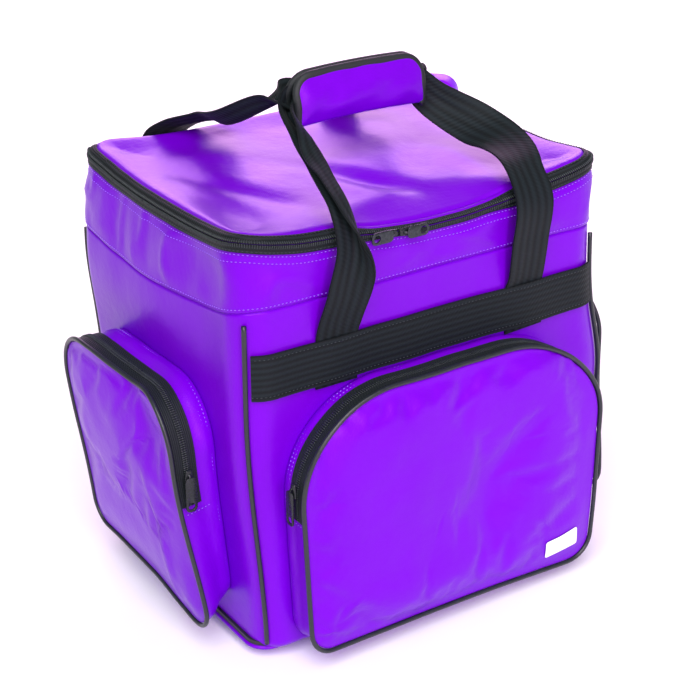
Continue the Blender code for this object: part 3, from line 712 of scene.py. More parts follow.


# %% [markdown]
# ## The lid
# The lid is one sheet over the whole top. Its rings start under the zip's upper tape, puff up beside
# it, and run in to the middle.

# %% lid sheet
LID_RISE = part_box("lid_panel")[1][2] - ZIP_Z
RIM_R = 0.007               # radius that the upper tape rolls in with
RIM_START = 0.35            # its lean at the teeth, in radians
RIM_TUCK = 0.5              # how much more it leans between the straps
TUCKED_AWAY = 0.45          # share of a tape that the cloth hides there
LID_PUFF = 0.0024           # how far the lid's cloth puffs up beside the tape
EDGE_INSET = 0.010
EDGE_RISE = 0.0078          # height of the lid's edge above the zip line
EDGE_TUCK = 0.0040          # how much lower it is between the straps


def tucked(x, y):
    """How far the zip is tucked in under the lid: only in front, between the straps."""
    return (1 - ease(0.055, 0.10, abs(x))) * (1 - ease(-HALF_Y, -HALF_Y + 0.03, y))


def tape_shown(x, y):
    """Width of one tape that shows beside the cloth."""
    return TAPE_HALF * (1 - TUCKED_AWAY * tucked(x, y))


def rim_point(plain, along, off):
    """Point by the zip's upper tape, which rolls in over the lid's edge.

    along is the way from the teeth over the tape, and off the distance outside the lid's cloth.
    """
    x, y = plain.x, plain.y - MIDDLE_Y
    start = RIM_START + RIM_TUCK * tucked(x, y)
    angle = start + along / RIM_R
    inward = RIM_R * (cos(start) - cos(angle))
    rise = RIM_R * (sin(angle) - sin(start))
    away = outward(x, y)
    level = away * (off * cos(angle) - inward)
    return settle(Vector((plain.x, plain.y, ZIP_Z + 0.0001 + rise + off * sin(angle))) + level)


# Soft folds of the lid: depth, a point on it, its slope in X and Y, width, middle in Y and length.
LID_FOLDS = (
    (0.0065, -0.012, -0.055, 0.9, 0.45, 0.014, -0.06, 0.05),
    (0.0040, -0.115, -0.03, 0.8, 0.3, 0.012, -0.03, 0.055),
    (0.0035, 0.075, -0.02, 0.7, -0.5, 0.014, -0.02, 0.05),
)


def lid_height(x, y):
    """Height of the lid's cloth above the zip line, away from its edge."""
    dome = (1 - (abs(x) / HALF_X) ** 2.5) * (1 - (abs(y) / HALF_Y) ** 2.5)
    height = 0.25 * LID_RISE + 0.45 * LID_RISE * dome
    height += 0.0026 * noise.noise(Vector((x * 13 + y * 5, y * 15 - x * 4, 1.7)))
    height += 0.0006 * noise.noise(Vector((x * 34, y * 30, 5.2)))
    for depth, fold_x, fold_y, slope_x, slope_y, width, middle, length in LID_FOLDS:
        from_fold = (x - fold_x) * slope_x + (y - fold_y) * slope_y
        height -= depth * swell(from_fold, 0, width) * swell(y, middle, length)
    return height


def lid_rings():
    """Rings of the lid's cloth: under the upper tape, over its edge, then in to the middle."""
    result = []
    plan = box_ring(0.0, 0.0)
    for along in (0.0, 0.002, 0.004, 0.0048, 0.0056, 0.0070, 0.0080, 0.0088, 0.0098):
        ring = []
        for plain in plan:
            shown = tape_shown(plain.x, plain.y - MIDDLE_Y)
            ring.append(rim_point(plain, along, LID_PUFF * ease(shown, shown + 0.0014, along)))
        result.append(ring)
    inset = EDGE_INSET
    while inset < HALF_Y - 0.6 * MESH_STEP:
        result.append(lid_inner_ring(inset))
        inset += MESH_STEP
    result.append(lid_inner_ring(HALF_Y - 1e-5))
    return result


def lid_inner_ring(inset):
    ring = []
    for plain in box_ring(inset, 0.0):
        x, y = plain.x, plain.y - MIDDLE_Y
        edge_rise = EDGE_RISE - EDGE_TUCK * tucked(x * HALF_X / (HALF_X - inset), y - inset)
        free = lid_height(x, y)
        t = ease(EDGE_INSET - 0.002, 0.05, inset)
        height = edge_rise * (1 - t) + free * t
        place = settle(Vector((plain.x, plain.y, ZIP_Z + height)))
        keep = 1 - ease(0.0, 0.06, inset)
        place.z = ZIP_Z + height + (place.z - ZIP_Z - height) * keep
        ring.append(place)
    return ring


lid_cover = skin("lid_cover", lid_rings(), violet_cloth, None)
tidy_mesh(lid_cover, 0.0006)
add_lining(lid_cover, FABRIC * 0.8)
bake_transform(lid_cover)
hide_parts("lid_panel", "top_rear_panel")
print("lid faces", len(lid_cover.data.polygons))

# %% [markdown]
# ## The main zip
# The zip runs round three sides, level with the top of the collar. Its lower tape is sewn to the
# collar and its upper tape to the lid. Behind the fold both tapes run on to the back corners and stay
# with the bag. Teeth stand on the edge of each tape, and a row of stitches holds it.

# %% zip tapes and teeth
BACK_END = MIDDLE_Y + HALF_Y - 0.010
TAPE_OUT = GAP + TAPE_THICK / 2 + 0.0002
TAPE_FACE = TAPE_OUT + TAPE_THICK / 2
TEETH_FROM_MIDDLE = 0.0013
TEETH_STAND = 0.0004        # teeth stand on the tape's face


def zip_path(out, z, far=BACK_END):
    """Points along the zip from its left end by the front to its right end."""
    front = [p for p in box_ring(-out, z) if p.y <= far - 0.001]
    left = sorted([p for p in front if p.x < -HALF_X + CORNER_R and p.y > FRONT_Y + CORNER_R],
                  key=lambda p: -p.y)
    right = sorted([p for p in front if p.x > HALF_X - CORNER_R and p.y > FRONT_Y + CORNER_R],
                   key=lambda p: p.y)
    middle = [p for p in front if p.y <= FRONT_Y + CORNER_R + 1e-6]
    middle.sort(key=lambda p: atan2(p.x, FRONT_Y + 2 * HALF_Y - p.y))
    path = left + middle + right
    if far == FOLD_Y:
        path = [Vector((-HALF_X - out, far, z))] + path + [Vector((HALF_X + out, far, z))]
    return path


def settle_row(z, out):
    """Settled row round the zip; where the zip is tucked in, the cloth below it stands higher."""
    row = []
    for p in zip_path(out, z):
        p.z += TAPE_HALF - tape_shown(p.x, p.y - MIDDLE_Y)
        row.append(settle(p))
    return row


def rim_out(place):
    return (wall_out(place) + Vector((0, 0, 1.4))).normalized()


def sew_zip(label, body, rows, edge, seam, out):
    """Tape with teeth along its edge and stitches along its seam."""
    tape = strip(f"zip_tape_{label}", rows, TAPE_THICK, zip_tape, body)
    row = teeth(f"zip_teeth_{label}", edge, body, nylon_teeth, out)
    sewn = stitches(f"zip_stitches_{label}", seam, body, black_thread, out)
    return tape


def make_lower_zip():
    rows = []
    for p in zip_path(TAPE_OUT, ZIP_Z):
        shown = tape_shown(p.x, p.y - MIDDLE_Y)
        rows.append([settle(p - Vector((0, 0, 0.0001 + (shown - 0.0001) * (1 - k / 5)))) for k in range(6)])
    edge = [settle(p) for p in zip_path(TAPE_FACE + TEETH_STAND, ZIP_Z - TEETH_FROM_MIDDLE)]
    return sew_zip("lower", "bag", rows, edge, settle_row(ZIP_Z - TAPE_HALF + 0.0016, TAPE_FACE), wall_out)


def make_upper_zip(label, plan, body):
    shown = [tape_shown(p.x, p.y - MIDDLE_Y) for p in plan]
    rows = [[rim_point(p, s * k / 5, TAPE_OUT) for k in range(6)] for p, s in zip(plan, shown)]
    edge = [rim_point(p, TEETH_FROM_MIDDLE, TAPE_FACE + TEETH_STAND) for p in plan]
    seam = [rim_point(p, s - 0.0014, TAPE_FACE) for p, s in zip(plan, shown)]
    return sew_zip(label, body, rows, edge, seam, rim_out)


zip_lower = make_lower_zip()
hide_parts("zip_tape_body")
zip_upper = make_upper_zip("upper", zip_path(0.0, ZIP_Z, FOLD_Y), "lid")
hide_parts("zip_tape_lid")
behind = [p for p in zip_path(0.0, ZIP_Z) if p.y > FOLD_Y]
for label, side in (("tail_l", -1), ("tail_r", 1)):
    plan = [p for p in behind if p.x * side > 0]
    end = Vector((side * HALF_X, FOLD_Y + 0.0004, ZIP_Z))
    make_upper_zip(label, plan + [end] if side < 0 else [end] + plan, "bag")
zip_long = sum((b - a).length for a, b in zip(settle_row(ZIP_Z, 0), settle_row(ZIP_Z, 0)[1:]))
print("zip length", round(zip_long, 3))

# %% [markdown]
# Two rows of violet stitches hold the collar's top, and one row runs above its lower seam, all the
# way round.

# %% collar stitches
def round_row(z, out):
    ring = [settle(p) for p in box_ring(-out, z)]
    return ring + ring[:1]


STITCH_OUT = 0.0012
for name, path in (("top", settle_row(ZIP_Z - TAPE_HALF - 0.0022, STITCH_OUT)),
                   ("second", settle_row(ZIP_Z - TAPE_HALF - 0.0085, STITCH_OUT)),
                   ("low", round_row(COLLAR_Z + 0.0042, STITCH_OUT))):
    row = stitches(f"collar_stitches_{name}", path, "bag", violet_thread, wall_out)

# %% [markdown]
# ## Corner piping
# A piped seam runs up each corner from the bottom edge to the collar's seam.

# %% corner piping
reach = (CORNER_R + GAP + PIPING_R) / 2 ** 0.5
for name, side_x, side_y in (("fl", -1, -1), ("fr", 1, -1), ("bl", -1, 1), ("br", 1, 1)):
    x = side_x * (HALF_X - CORNER_R + reach)
    y = MIDDLE_Y + side_y * (HALF_Y - CORNER_R + reach)
    low = FLOOR_Z + BOTTOM_R
    path = [settle(Vector((x, y, low + (COLLAR_Z - 0.010 - low) * i / 60))) for i in range(61)]
    piping = tube(f"piping_{name}", path, PIPING_R, piping_vinyl, "bag")
    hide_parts(f"corner_piping_{name}")
print("corner piping length", round(COLLAR_Z - FLOOR_Z, 3))

# %% [markdown]
# ## Pockets
# Each pocket is a flat panel with an arched top, joined to the wall by a gusset. Piping covers the
# seam between them, and the zip lies in the gusset, just behind the piping, over the arch.

# %% pocket shapes
POCKET_WALL = 0.002
POCKET_LOW_R = 0.022
DROOP_FORWARD = 0.017       # how far a full pocket's lower front corner hangs forward
DROOP_DOWN = 0.014          # and down
FRONT_DROOP = 0.35          # share of that droop which the front pocket has
DENT_DOWN = 0.010           # dent on top of a side pocket
DENT_IN = 0.006


class Pocket:
    """Sizes of one pocket, and the way from its own flat plan to the bag."""

    def __init__(self, name, wall, top_r, crown):
        self.name = name
        self.crown = crown
        low, high = (Vector(corner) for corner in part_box(f"{name}_pouch"))
        self.low, self.high = low.z, high.z
        self.wall = wall
        if wall == "front":
            self.half, self.middle = (high.x - low.x) / 2, (low.x + high.x) / 2
            self.depth = FRONT_Y - low.y
        else:
            self.half, self.middle = (high.y - low.y) / 2, (low.y + high.y) / 2
            self.depth = (high.x if wall == "right" else -low.x) - HALF_X
        self.radii = (POCKET_LOW_R, POCKET_LOW_R, top_r, top_r)
        low_arc = counts(POCKET_LOW_R * pi / 2)
        top_arc = counts(top_r * pi / 2)
        upright = counts(self.high - self.low - POCKET_LOW_R - top_r)
        self.steps = (low_arc, low_arc, top_arc, top_arc)
        self.sides = (counts(2 * (self.half - POCKET_LOW_R)), upright,
                      counts(2 * (self.half - top_r)), upright)

    def outline(self, inset=0.0):
        return rounded_outline(self.half, self.low, self.high, self.radii, self.steps, self.sides, inset)

    def place(self, u, z, depth):
        """Place on the bag. A full pocket hangs out at its lower front corner and dents on top."""
        share = min(depth / self.depth, 1.0)
        forward = {"front": 1, "left": 1, "right": -1}[self.wall]
        droop = swell(hypot(forward * u - self.half, z - self.low), 0, 0.085) * ease(0.0, 0.9, share)
        dent = swell(forward * u, 0.34 * self.half, 0.034) * swell(z, self.high, 0.034) * share
        if self.wall == "front":
            droop, dent = FRONT_DROOP * droop, 0.0
        u += forward * DROOP_FORWARD * droop
        z -= DROOP_DOWN * droop + DENT_DOWN * dent
        depth -= DENT_IN * dent
        if self.wall == "front":
            return Vector((self.middle + u, FRONT_Y - depth, z))
        if self.wall == "left":
            return Vector((-HALF_X - depth, self.middle - u, z))
        return Vector((HALF_X + depth, self.middle + u, z))

    def out(self):
        return {"front": FORWARD, "left": LEFT, "right": RIGHT}[self.wall]

    def gusset_out(self, place):
        """Direction away from the gusset, in the pocket's plan."""
        u = (place.x - self.middle) if self.wall == "front" else (place.y - self.middle)
        top_r = self.radii[2]
        over_u = max(abs(u) - self.half + top_r, 0) * (1 if u > 0 else -1)
        over_z = place.z - (self.high - top_r)
        if over_z < 0:
            over_z, over_u = 0, (1 if u > 0 else -1)
        away = (RIGHT if self.wall == "front" else -FORWARD) * over_u + UP * over_z
        return away.normalized() if away.length > 1e-6 else UP


def belly(pocket, u, z, inset):
    """How far the panel stands out beyond its seam."""
    crown = pocket.crown * (1 - (1 - min(inset / 0.055, 1.0)) ** 2)
    crown += 0.0030 * swell(z, pocket.low + 0.035, 0.03) * ease(0.0, 0.02, inset)
    place = pocket.place(u, z, 0)
    wave = 0.0022 * noise.noise(place * 12 + Vector((9.2, 1.1, 3.3)))
    wave += 0.0008 * noise.noise(place * 34)
    if pocket.wall != "front":
        corner = hypot(u - pocket.half * 0.62, z - pocket.high + 0.045)
        wave -= 0.008 * swell(corner, 0, 0.026)
        line = u - pocket.half * 0.60 + 0.0010
        wave += 0.0022 * swell(line, 0, 0.006) * ease(pocket.high - 0.05, pocket.high - 0.11, z)
    return crown + wave * ease(0.0, 0.012, inset)


def pocket_rings(pocket):
    rings = []
    deep = pocket.depth
    for t in (0.0, 0.04, 0.12, 0.22, 0.32, 0.42, 0.52, 0.62, 0.72, 0.82, 0.90, 0.95, 0.985):
        puffed = 0.0022 * sin(pi * min(t / 0.38, 1.0))
        ring = []
        for u, z in pocket.outline(-puffed):
            place = pocket.place(u, z, deep * t)
            fold = 0.0012 * noise.noise(place * 40) * sin(pi * min(t / 0.38, 1.0))
            ring.append(settle(place + pocket.gusset_out(place) * fold))
        rings.append(ring)
    narrow = min(pocket.half, (pocket.high - pocket.low) / 2)
    inset = 0.0005
    while inset < narrow - MESH_STEP:
        rings.append([settle(pocket.place(u, z, deep + belly(pocket, u, z, inset)))
                      for u, z in pocket.outline(inset)])
        inset += min(MESH_STEP, 0.001 + inset * 0.8)
    return rings


def close_middle(pouch, pocket):
    """Fill the narrow opening that the rings leave in the middle of the panel."""
    shown = pocket.out()
    level = pocket.place(0, 0, pocket.depth * 0.9).dot(shown)
    with edited(pouch) as shape:
        rim = [e for e in shape.edges if e.is_boundary and e.verts[0].co.dot(shown) > level]
        filled = bmesh.ops.holes_fill(shape, edges=rim)["faces"]
        made = bmesh.ops.triangulate(shape, faces=filled, ngon_method="BEAUTY")["faces"]
        for face in made:
            face.smooth = True
        bmesh.ops.recalc_face_normals(shape, faces=shape.faces)


def make_pouch(pocket):
    pouch = skin(f"{pocket.name}_cloth", pocket_rings(pocket), violet_cloth, "bag")
    tidy_mesh(pouch, 0.0006)
    close_middle(pouch, pocket)
    seam = pocket.depth - 0.0015
    shown = pocket.out()
    wall = pocket.place(0, 0, 0).dot(shown)
    edge = 0.010
    patch_low, patch_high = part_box("label_patch")

    def pinned(p):
        out = p.dot(shown) - wall
        u = (p.x - pocket.middle) if pocket.wall == "front" else (p.y - pocket.middle)
        inner = min(pocket.half - abs(u), p.z - pocket.low, pocket.high - p.z)
        patch = pocket.wall == "front" and all(
            low - 0.006 < value < high + 0.006
            for value, low, high in ((p.x, patch_low[0], patch_high[0]), (p.z, patch_low[2], patch_high[2])))
        return out < seam or inner < edge or patch
    puff(pouch, pinned, 0.9, 0.005)
    add_lining(pouch, POCKET_WALL * 0.8)
    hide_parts(f"{pocket.name}_pouch")
    return pouch


# %% pocket piping, zip and stitches
POCKET_ZIP_END = 0.160
POCKET_TAPE_WIDTH = 0.020


def arch_part(pocket, out, low_z):
    """Part of the outline above a height, from the right side over the arch to the left."""
    return [(u, z) for u, z in pocket.outline(-out) if z >= low_z - 1e-6
            and (z > pocket.low + POCKET_LOW_R)]


def make_pocket_trim(pocket):
    name, deep = pocket.name, pocket.depth
    edge = PIPING_R + GAP
    path = [settle(pocket.place(u, z, deep)) for u, z in pocket.outline(-edge)]
    piping = tube(f"{name}_welt", path, PIPING_R, piping_vinyl, "bag", loop=True, level=pocket.out())
    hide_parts(f"{name}_piping")

    top = deep - PIPING_R - 2 * GAP
    rows = []
    for u, z in arch_part(pocket, GAP + 0.0012, POCKET_ZIP_END):
        rows.append([settle(pocket.place(u, z, top - POCKET_TAPE_WIDTH * (1 - k / 6))) for k in range(7)])
    tape = strip(f"{name}_tape", rows, TAPE_THICK, zip_tape, "bag")
    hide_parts(f"{name}_zip_tape")
    middle = top - POCKET_TAPE_WIDTH / 2
    for side in (-1, 1):
        line = [settle(pocket.place(u, z, middle + side * TEETH_FROM_MIDDLE))
                for u, z in arch_part(pocket, GAP + 0.0022, POCKET_ZIP_END)]
        row = teeth(f"{name}_teeth_{'in' if side < 0 else 'out'}", line, "bag", nylon_teeth,
                    pocket.gusset_out)
    for number, depth in enumerate((0.0045, 0.0085)):
        line = [settle(pocket.place(u, z, depth)) for u, z in arch_part(pocket, STITCH_OUT, pocket.low)]
        row = stitches(f"{name}_stitches_{number}", line, "bag", violet_thread, pocket.gusset_out)
    for side in (-1, 1):
        line = [settle(pocket.place(side * (pocket.half + STITCH_OUT), POCKET_ZIP_END - 0.004,
                                    deep * (0.16 + 0.74 * k / 8))) for k in range(9)]
        row = stitches(f"{name}_bar_{'a' if side < 0 else 'b'}", line, "bag", violet_thread,
                       pocket.gusset_out)


front_pocket = Pocket("front_pocket", "front", 0.095, 0.0045)
left_pocket = Pocket("left_pocket", "left", 0.060, 0.0045)
right_pocket = Pocket("right_pocket", "right", 0.060, 0.0045)
pouches = {}
for pocket in (front_pocket, left_pocket, right_pocket):
    pouches[pocket.name] = make_pouch(pocket)
    make_pocket_trim(pocket)
    print(pocket.name, "faces", len(pouches[pocket.name].data.polygons))

# %% [markdown]
# ## Webbing bands and carry straps
# A webbing band crosses the front and the back, and the straps come out from under it. Each strap is
# free from the band's upper edge: it stands off the collar, passes the zip, lies slack over the lid
# and is gathered in the wrap. Stations along its way give its place, its direction across, its width
# and how far it is folded over lengthwise; a smooth curve joins them.

# %% bands
BAND_LOW, BAND_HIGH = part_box("front_band")[0][2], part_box("front_band")[1][2]
BAND_OUT = 0.0030           # how far a band lies outside the plan
BAND_THICK = 0.0018
STRAP_THICK = 0.0017
STRAP_BUMP = 0.0016         # bulge of a band over a strap's end
SEWN_IN = 0.0035            # stitches stand this far inside a band's edge


def make_band(name, side):
    half = HALF_X - CORNER_R * 0.36
    rows = []
    for i in range(81):
        x = -side * half + side * 2 * half * i / 80
        row = []
        for k in range(9):
            z = BAND_LOW + (BAND_HIGH - BAND_LOW) * k / 8
            over = max(abs(x) - HALF_X + CORNER_R, 0)
            inward = CORNER_R - (CORNER_R ** 2 - over ** 2) ** 0.5
            y = MIDDLE_Y + side * (HALF_Y + BAND_OUT - inward)
            bulge = STRAP_BUMP * max(swell(x, STRAP_X, 0.022), swell(x, -STRAP_X, 0.022))
            row.append(settle(Vector((x, y + side * bulge, z))))
        rows.append(row)
    band = strip(f"{name}_webbing", [row[::-1] for row in rows][::-1], BAND_THICK, strap_webbing, "bag")
    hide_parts(f"{name}_band")
    for number, inside in enumerate((SEWN_IN, BAND_HIGH - BAND_LOW - SEWN_IN)):
        line = []
        for row in rows:
            a, b = row[0], row[-1]
            line.append(a + (b - a) * inside / (BAND_HIGH - BAND_LOW) + Vector((0, side * 0.0011, 0)))
        out_way = Vector((0, side, 0))
        sewn = stitches(f"{name}_band_stitches_{number}", line, "bag", black_thread, lambda p: out_way)


make_band("front", -1)
make_band("back", 1)


# %% straps
PER_SPAN = 10               # rows of a strap between two stations


def curve_through(values):
    """Smooth values between stations, as a Catmull-Rom curve gives them."""
    ends = [2 * values[0] - values[1]] + values + [2 * values[-1] - values[-2]]
    found = []
    for a, b, c, d in zip(ends, ends[1:], ends[2:], ends[3:]):
        for i in range(PER_SPAN):
            t = i / PER_SPAN
            found.append(0.5 * (2 * b + (c - a) * t + (2 * a - 5 * b + 4 * c - d) * t ** 2
                                + (3 * b - a - 3 * c + d) * t ** 3))
    return found + [values[-1]]


def strap_rows(stations, across_steps=14):
    """Rows of a strap from stations of place, across, width and fold."""
    places = curve_through([s[0] for s in stations])
    acrosses = curve_through([s[1].normalized() for s in stations])
    widths = curve_through([s[2] for s in stations])
    folds = curve_through([s[3] for s in stations])
    rows = []
    for i, place in enumerate(places):
        run = (places[min(i + 1, len(places) - 1)] - places[max(i - 1, 0)]).normalized()
        across = (acrosses[i] - run * acrosses[i].dot(run)).normalized()
        normal = across.cross(run)
        step = widths[i] / across_steps
        points = [Vector((0, 0, 0))]
        for k in range(across_steps):
            t = (k + 0.5) / across_steps
            angle = folds[i] * pi * ease(0.36, 0.64, t)
            points.append(points[-1] + (across * cos(angle) + normal * sin(angle)) * step)
        centre = sum(points, Vector((0, 0, 0))) / len(points)
        rows.append([place + p - centre for p in points])
    return rows


WRAP_LOW, WRAP_HIGH = (Vector(corner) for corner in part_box("grip_wrap"))
WRAP_X = (WRAP_LOW.x + WRAP_HIGH.x) / 2
WRAP_HALF = (WRAP_HIGH.x - WRAP_LOW.x) / 2
WRAP_Y = WRAP_HIGH.y - 0.001
WRAP_MIDDLE = (WRAP_LOW.z + WRAP_HIGH.z) / 2 + 0.004


def wrap_droop(x):
    """How far the wrap's ends hang below its middle."""
    t = (x - WRAP_X) / WRAP_HALF
    return -0.0025 * min(abs(t), 1.3) ** 2


def strap_leg(side, leg):
    """Stations of one leg from under the band up to the wrap; leg is -1 on the left, 1 on the right."""
    x = leg * STRAP_X
    wall = MIDDLE_Y + side * (HALF_Y + 0.0018)
    level = Vector((-side, 0, 0))
    end = WRAP_X + leg * WRAP_HALF
    slot_y = WRAP_Y + side * 0.0035
    off = 0.014 if side < 0 else 0.010
    front_left = side < 0 and leg < 0
    front_right = side < 0 and leg > 0

    def at(along, out, z):
        return Vector((x + along, wall + out, z))
    stations = [
        (settle(at(0, 0, BAND_LOW - 0.004)), level, STRAP_WIDTH, 0.0),
        (settle(at(0, 0, BAND_HIGH - 0.006)), level, STRAP_WIDTH, 0.0),
        (settle(at(0, side * 0.004, BAND_HIGH + 0.012)), level, STRAP_WIDTH, 0.04),
    ]
    if front_left:
        stations += [
            (at(0.003, side * off, COLLAR_Z + 0.012), level, 0.040, 0.14),
            (at(0.006, side * 0.018, ZIP_Z - 0.008), level, 0.038, 0.50),
            (at(0.002, -0.004, ZIP_Z + 0.026), level, 0.036, 0.86),
            (at(0.007, 0.028, ZIP_Z + 0.041), Vector((1, 0.2, 0)), 0.036, 0.94),
            (at(0.016, 0.064, ZIP_Z + 0.050), Vector((1, 0, 0.5)), 0.034, 0.92),
            (at(0.021, 0.090, ZIP_Z + 0.062), Vector((1, 0, -0.4)), 0.036, 0.90),
            (Vector((end - 0.003, slot_y - 0.004, WRAP_MIDDLE - 0.014)), Vector((0.7, 0.1, -0.9)),
             0.036, 0.80),
        ]
    elif front_right:
        stations += [
            (at(-0.001, side * 0.010, COLLAR_Z + 0.010), level, STRAP_WIDTH, 0.03),
            (at(0, side * 0.012, ZIP_Z - 0.006), level, STRAP_WIDTH, 0.03),
            (at(0.003, 0.012, ZIP_Z + 0.021), level, STRAP_WIDTH, 0.05),
            (at(0.013, 0.050, ZIP_Z + 0.029), Vector((0.95, -0.05, 0.25)), 0.046, 0.05),
            (at(0.008, 0.086, ZIP_Z + 0.036), Vector((0.74, -0.11, 0.60)), 0.044, 0.08),
            (Vector((end + 0.014, slot_y - 0.010, WRAP_MIDDLE - 0.030)), Vector((0.35, -0.1, 0.95)),
             0.036, 0.16),
        ]
    else:
        stations += [
            (at(0, side * off, COLLAR_Z + 0.020), level, STRAP_WIDTH, 0.06),
            (at(0, side * 0.010, ZIP_Z - 0.002), level, STRAP_WIDTH, 0.08),
            (at(-leg * 0.008, -side * 0.010, ZIP_Z + 0.017), level, STRAP_WIDTH, 0.10),
            (at(-leg * 0.026, -side * 0.044, ZIP_Z + 0.030),
             Vector((-side, 0, 0)), STRAP_WIDTH, 0.16),
            (Vector((end + leg * 0.022, MIDDLE_Y + side * 0.046, ZIP_Z + 0.048)),
             Vector((-side, 0, leg * side * 0.5)), STRAP_WIDTH, 0.40),
            (Vector((end + leg * 0.006, slot_y + side * 0.010, WRAP_MIDDLE - 0.008)),
             Vector((-side * 0.7, 0, leg * side * 0.8)), 0.036, 0.50),
        ]
    upright = Vector((0, 0, leg))
    for inside in (0.012, 0.030, 0.050):
        x_in = end - leg * inside
        stations.append((Vector((x_in, slot_y, WRAP_MIDDLE - 0.004)), upright, 0.028, 0.0))
    return stations


def make_strap(name, side):
    left, right = strap_leg(side, -1), strap_leg(side, 1)
    stations = left + [(p, -a, w, f) for p, a, w, f in right[::-1]]
    strap = strip(f"{name}_strap", strap_rows(stations), STRAP_THICK, strap_webbing, None)
    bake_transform(strap)
    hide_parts(f"{name}_carry_strap", f"{name}_anchor_l", f"{name}_anchor_r")
    return strap


front_strap = make_strap("front", -1)
make_strap("back", 1)
print("strap faces", len(front_strap.data.polygons))

# %% [markdown]
# ## The padded wrap
# A thin pad folds up round the two straps and closes with its edges level. Each wing is a crowned pad
# with a grosgrain binding over its left, upper and right edges. The front wing and the fold stay on
# the front strap, and the back wing opens on its own hinge.

# %% wrap pads and binding
flap_low, flap_high = (Vector(corner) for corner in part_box("grip_flap"))
front_wing_y = WRAP_LOW.y + 0.0025
back_wing_y = (flap_low.y + flap_high.y) / 2
wings_middle_y = (front_wing_y + back_wing_y) / 2
WING_THICK = 0.0046         # at its edge
WING_CROWN = 0.0040         # and what its middle has more
WING_WORN = 0.0022
BINDING_R = 0.0042


def wrap_place(u, z, depth, y):
    """Point of a wing. The wings lean together towards their tops."""
    x = WRAP_X + u
    share = (z - WRAP_LOW.z) / (WRAP_HIGH.z - WRAP_LOW.z)
    lean = (wings_middle_y - y) * 0.68 * ease(0.35, 1.0, share)
    return Vector((x, y + depth + lean, z + wrap_droop(x)))


def make_wing(name, body, y, side, node):
    """One wing; side is -1 where its face looks forward, and 1 where it looks back."""
    low, high = WRAP_LOW.z, WRAP_HIGH.z
    radii, steps = (0.004, 0.004, 0.016, 0.016), (3, 3, 8, 8)
    sides = (34, 7, 26, 7)

    def ring(inset, depth, worn=0.0):
        outline = rounded_outline(WRAP_HALF, low, high, radii, steps, sides, inset)
        if side > 0:
            outline = outline[::-1]
        return [wrap_place(u, z, depth + worn * noise.noise(Vector((u * 42, z * 60, y * 9))), y)
                for u, z in outline]
    narrow = (high - low) / 2 - 1e-5
    rings = [ring(i, -side * WING_THICK / 2) for i in (narrow, 0.016, 0.010, 0.005, 0.002)]
    rings += [ring(0.0005, -side * WING_THICK / 4), ring(0.0, 0), ring(0.0005, side * WING_THICK / 4)]
    for inset in (0.002, 0.004, 0.007, 0.010, 0.013, 0.016, 0.019, narrow):
        crown = WING_CROWN * (1 - (1 - min(inset / 0.018, 1)) ** 2)
        rings.append(ring(inset, side * (WING_THICK / 2 + crown), WING_WORN * min(inset / 0.006, 1)))
    pad = skin(name, rings, violet_cloth, body)
    tidy_mesh(pad, 0.0004)
    face_outwards(pad)
    apply_modifier(pad, "SUBSURF", levels=1, render_levels=1)
    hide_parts(node)

    outline = rounded_outline(WRAP_HALF - 0.0026, low, high - 0.0026, radii, (4, 4, 10, 10),
                              (34, 9, 30, 9), 0.0)
    lower_side = 4 + 34
    path = outline[lower_side + 1:] + outline[:3]
    points = [wrap_place(u, z, 0, y) for u, z in path]
    edge = tube(f"{name}_binding", points, BINDING_R, binding_tape, body, sides=14, flat=0.92,
                level=Vector((0, 1, 0)))


make_wing("wrap_front_pad", "front_strap", front_wing_y, -1, "grip_wrap")
make_wing("wrap_back_pad", "grip_flap", back_wing_y, 1, "grip_flap")


def make_wrap_fold():
    """Bottom of the wrap, between the two wings."""
    rows = []
    radius = (back_wing_y - front_wing_y) / 2 - 0.001
    for i in range(41):
        x = WRAP_LOW.x + 0.002 + (WRAP_HIGH.x - WRAP_LOW.x - 0.004) * i / 40
        rows.append([Vector((x, wings_middle_y - radius * cos(pi * k / 10),
                             WRAP_LOW.z + 0.006 - radius * 0.75 * sin(pi * k / 10) + wrap_droop(x)))
                     for k in range(11)])
    fold = strip("wrap_fold", rows[::-1], 0.003, violet_cloth, "front_strap")


make_wrap_fold()

# %% [markdown]
# ## Zip sliders and pulls
# A slider is a small die-cast body with a bridge over it; its pull is a flat plate with a hole. One
# slider is modelled and copied to all five places. The pulls keep the mechanical shape, with softened
# edges.

# %% slider and pulls
def softened(node, name, width, look, body, segments=2):
    """Copy of a mechanical piece with its edges rounded off."""
    source = bpy.data.objects[node]
    piece = link(bpy.data.objects.new(name, source.data.copy()))
    piece.data.materials.clear()
    piece.data.materials.append(look)
    only(piece)
    bpy.ops.object.mode_set(mode="EDIT")
    bpy.ops.mesh.select_all(action="SELECT")
    bpy.ops.mesh.remove_doubles(threshold=0.00002)
    bpy.ops.mesh.dissolve_limited(angle_limit=radians(2))
    bpy.ops.object.mode_set(mode="OBJECT")
    apply_modifier(piece, "BEVEL", width=width, segments=segments, limit_method="ANGLE",
                   angle_limit=radians(32))
    only(piece)
    bpy.ops.object.shade_smooth_by_angle(angle=radians(40))
    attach(piece, body)
    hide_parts(node)
    return piece


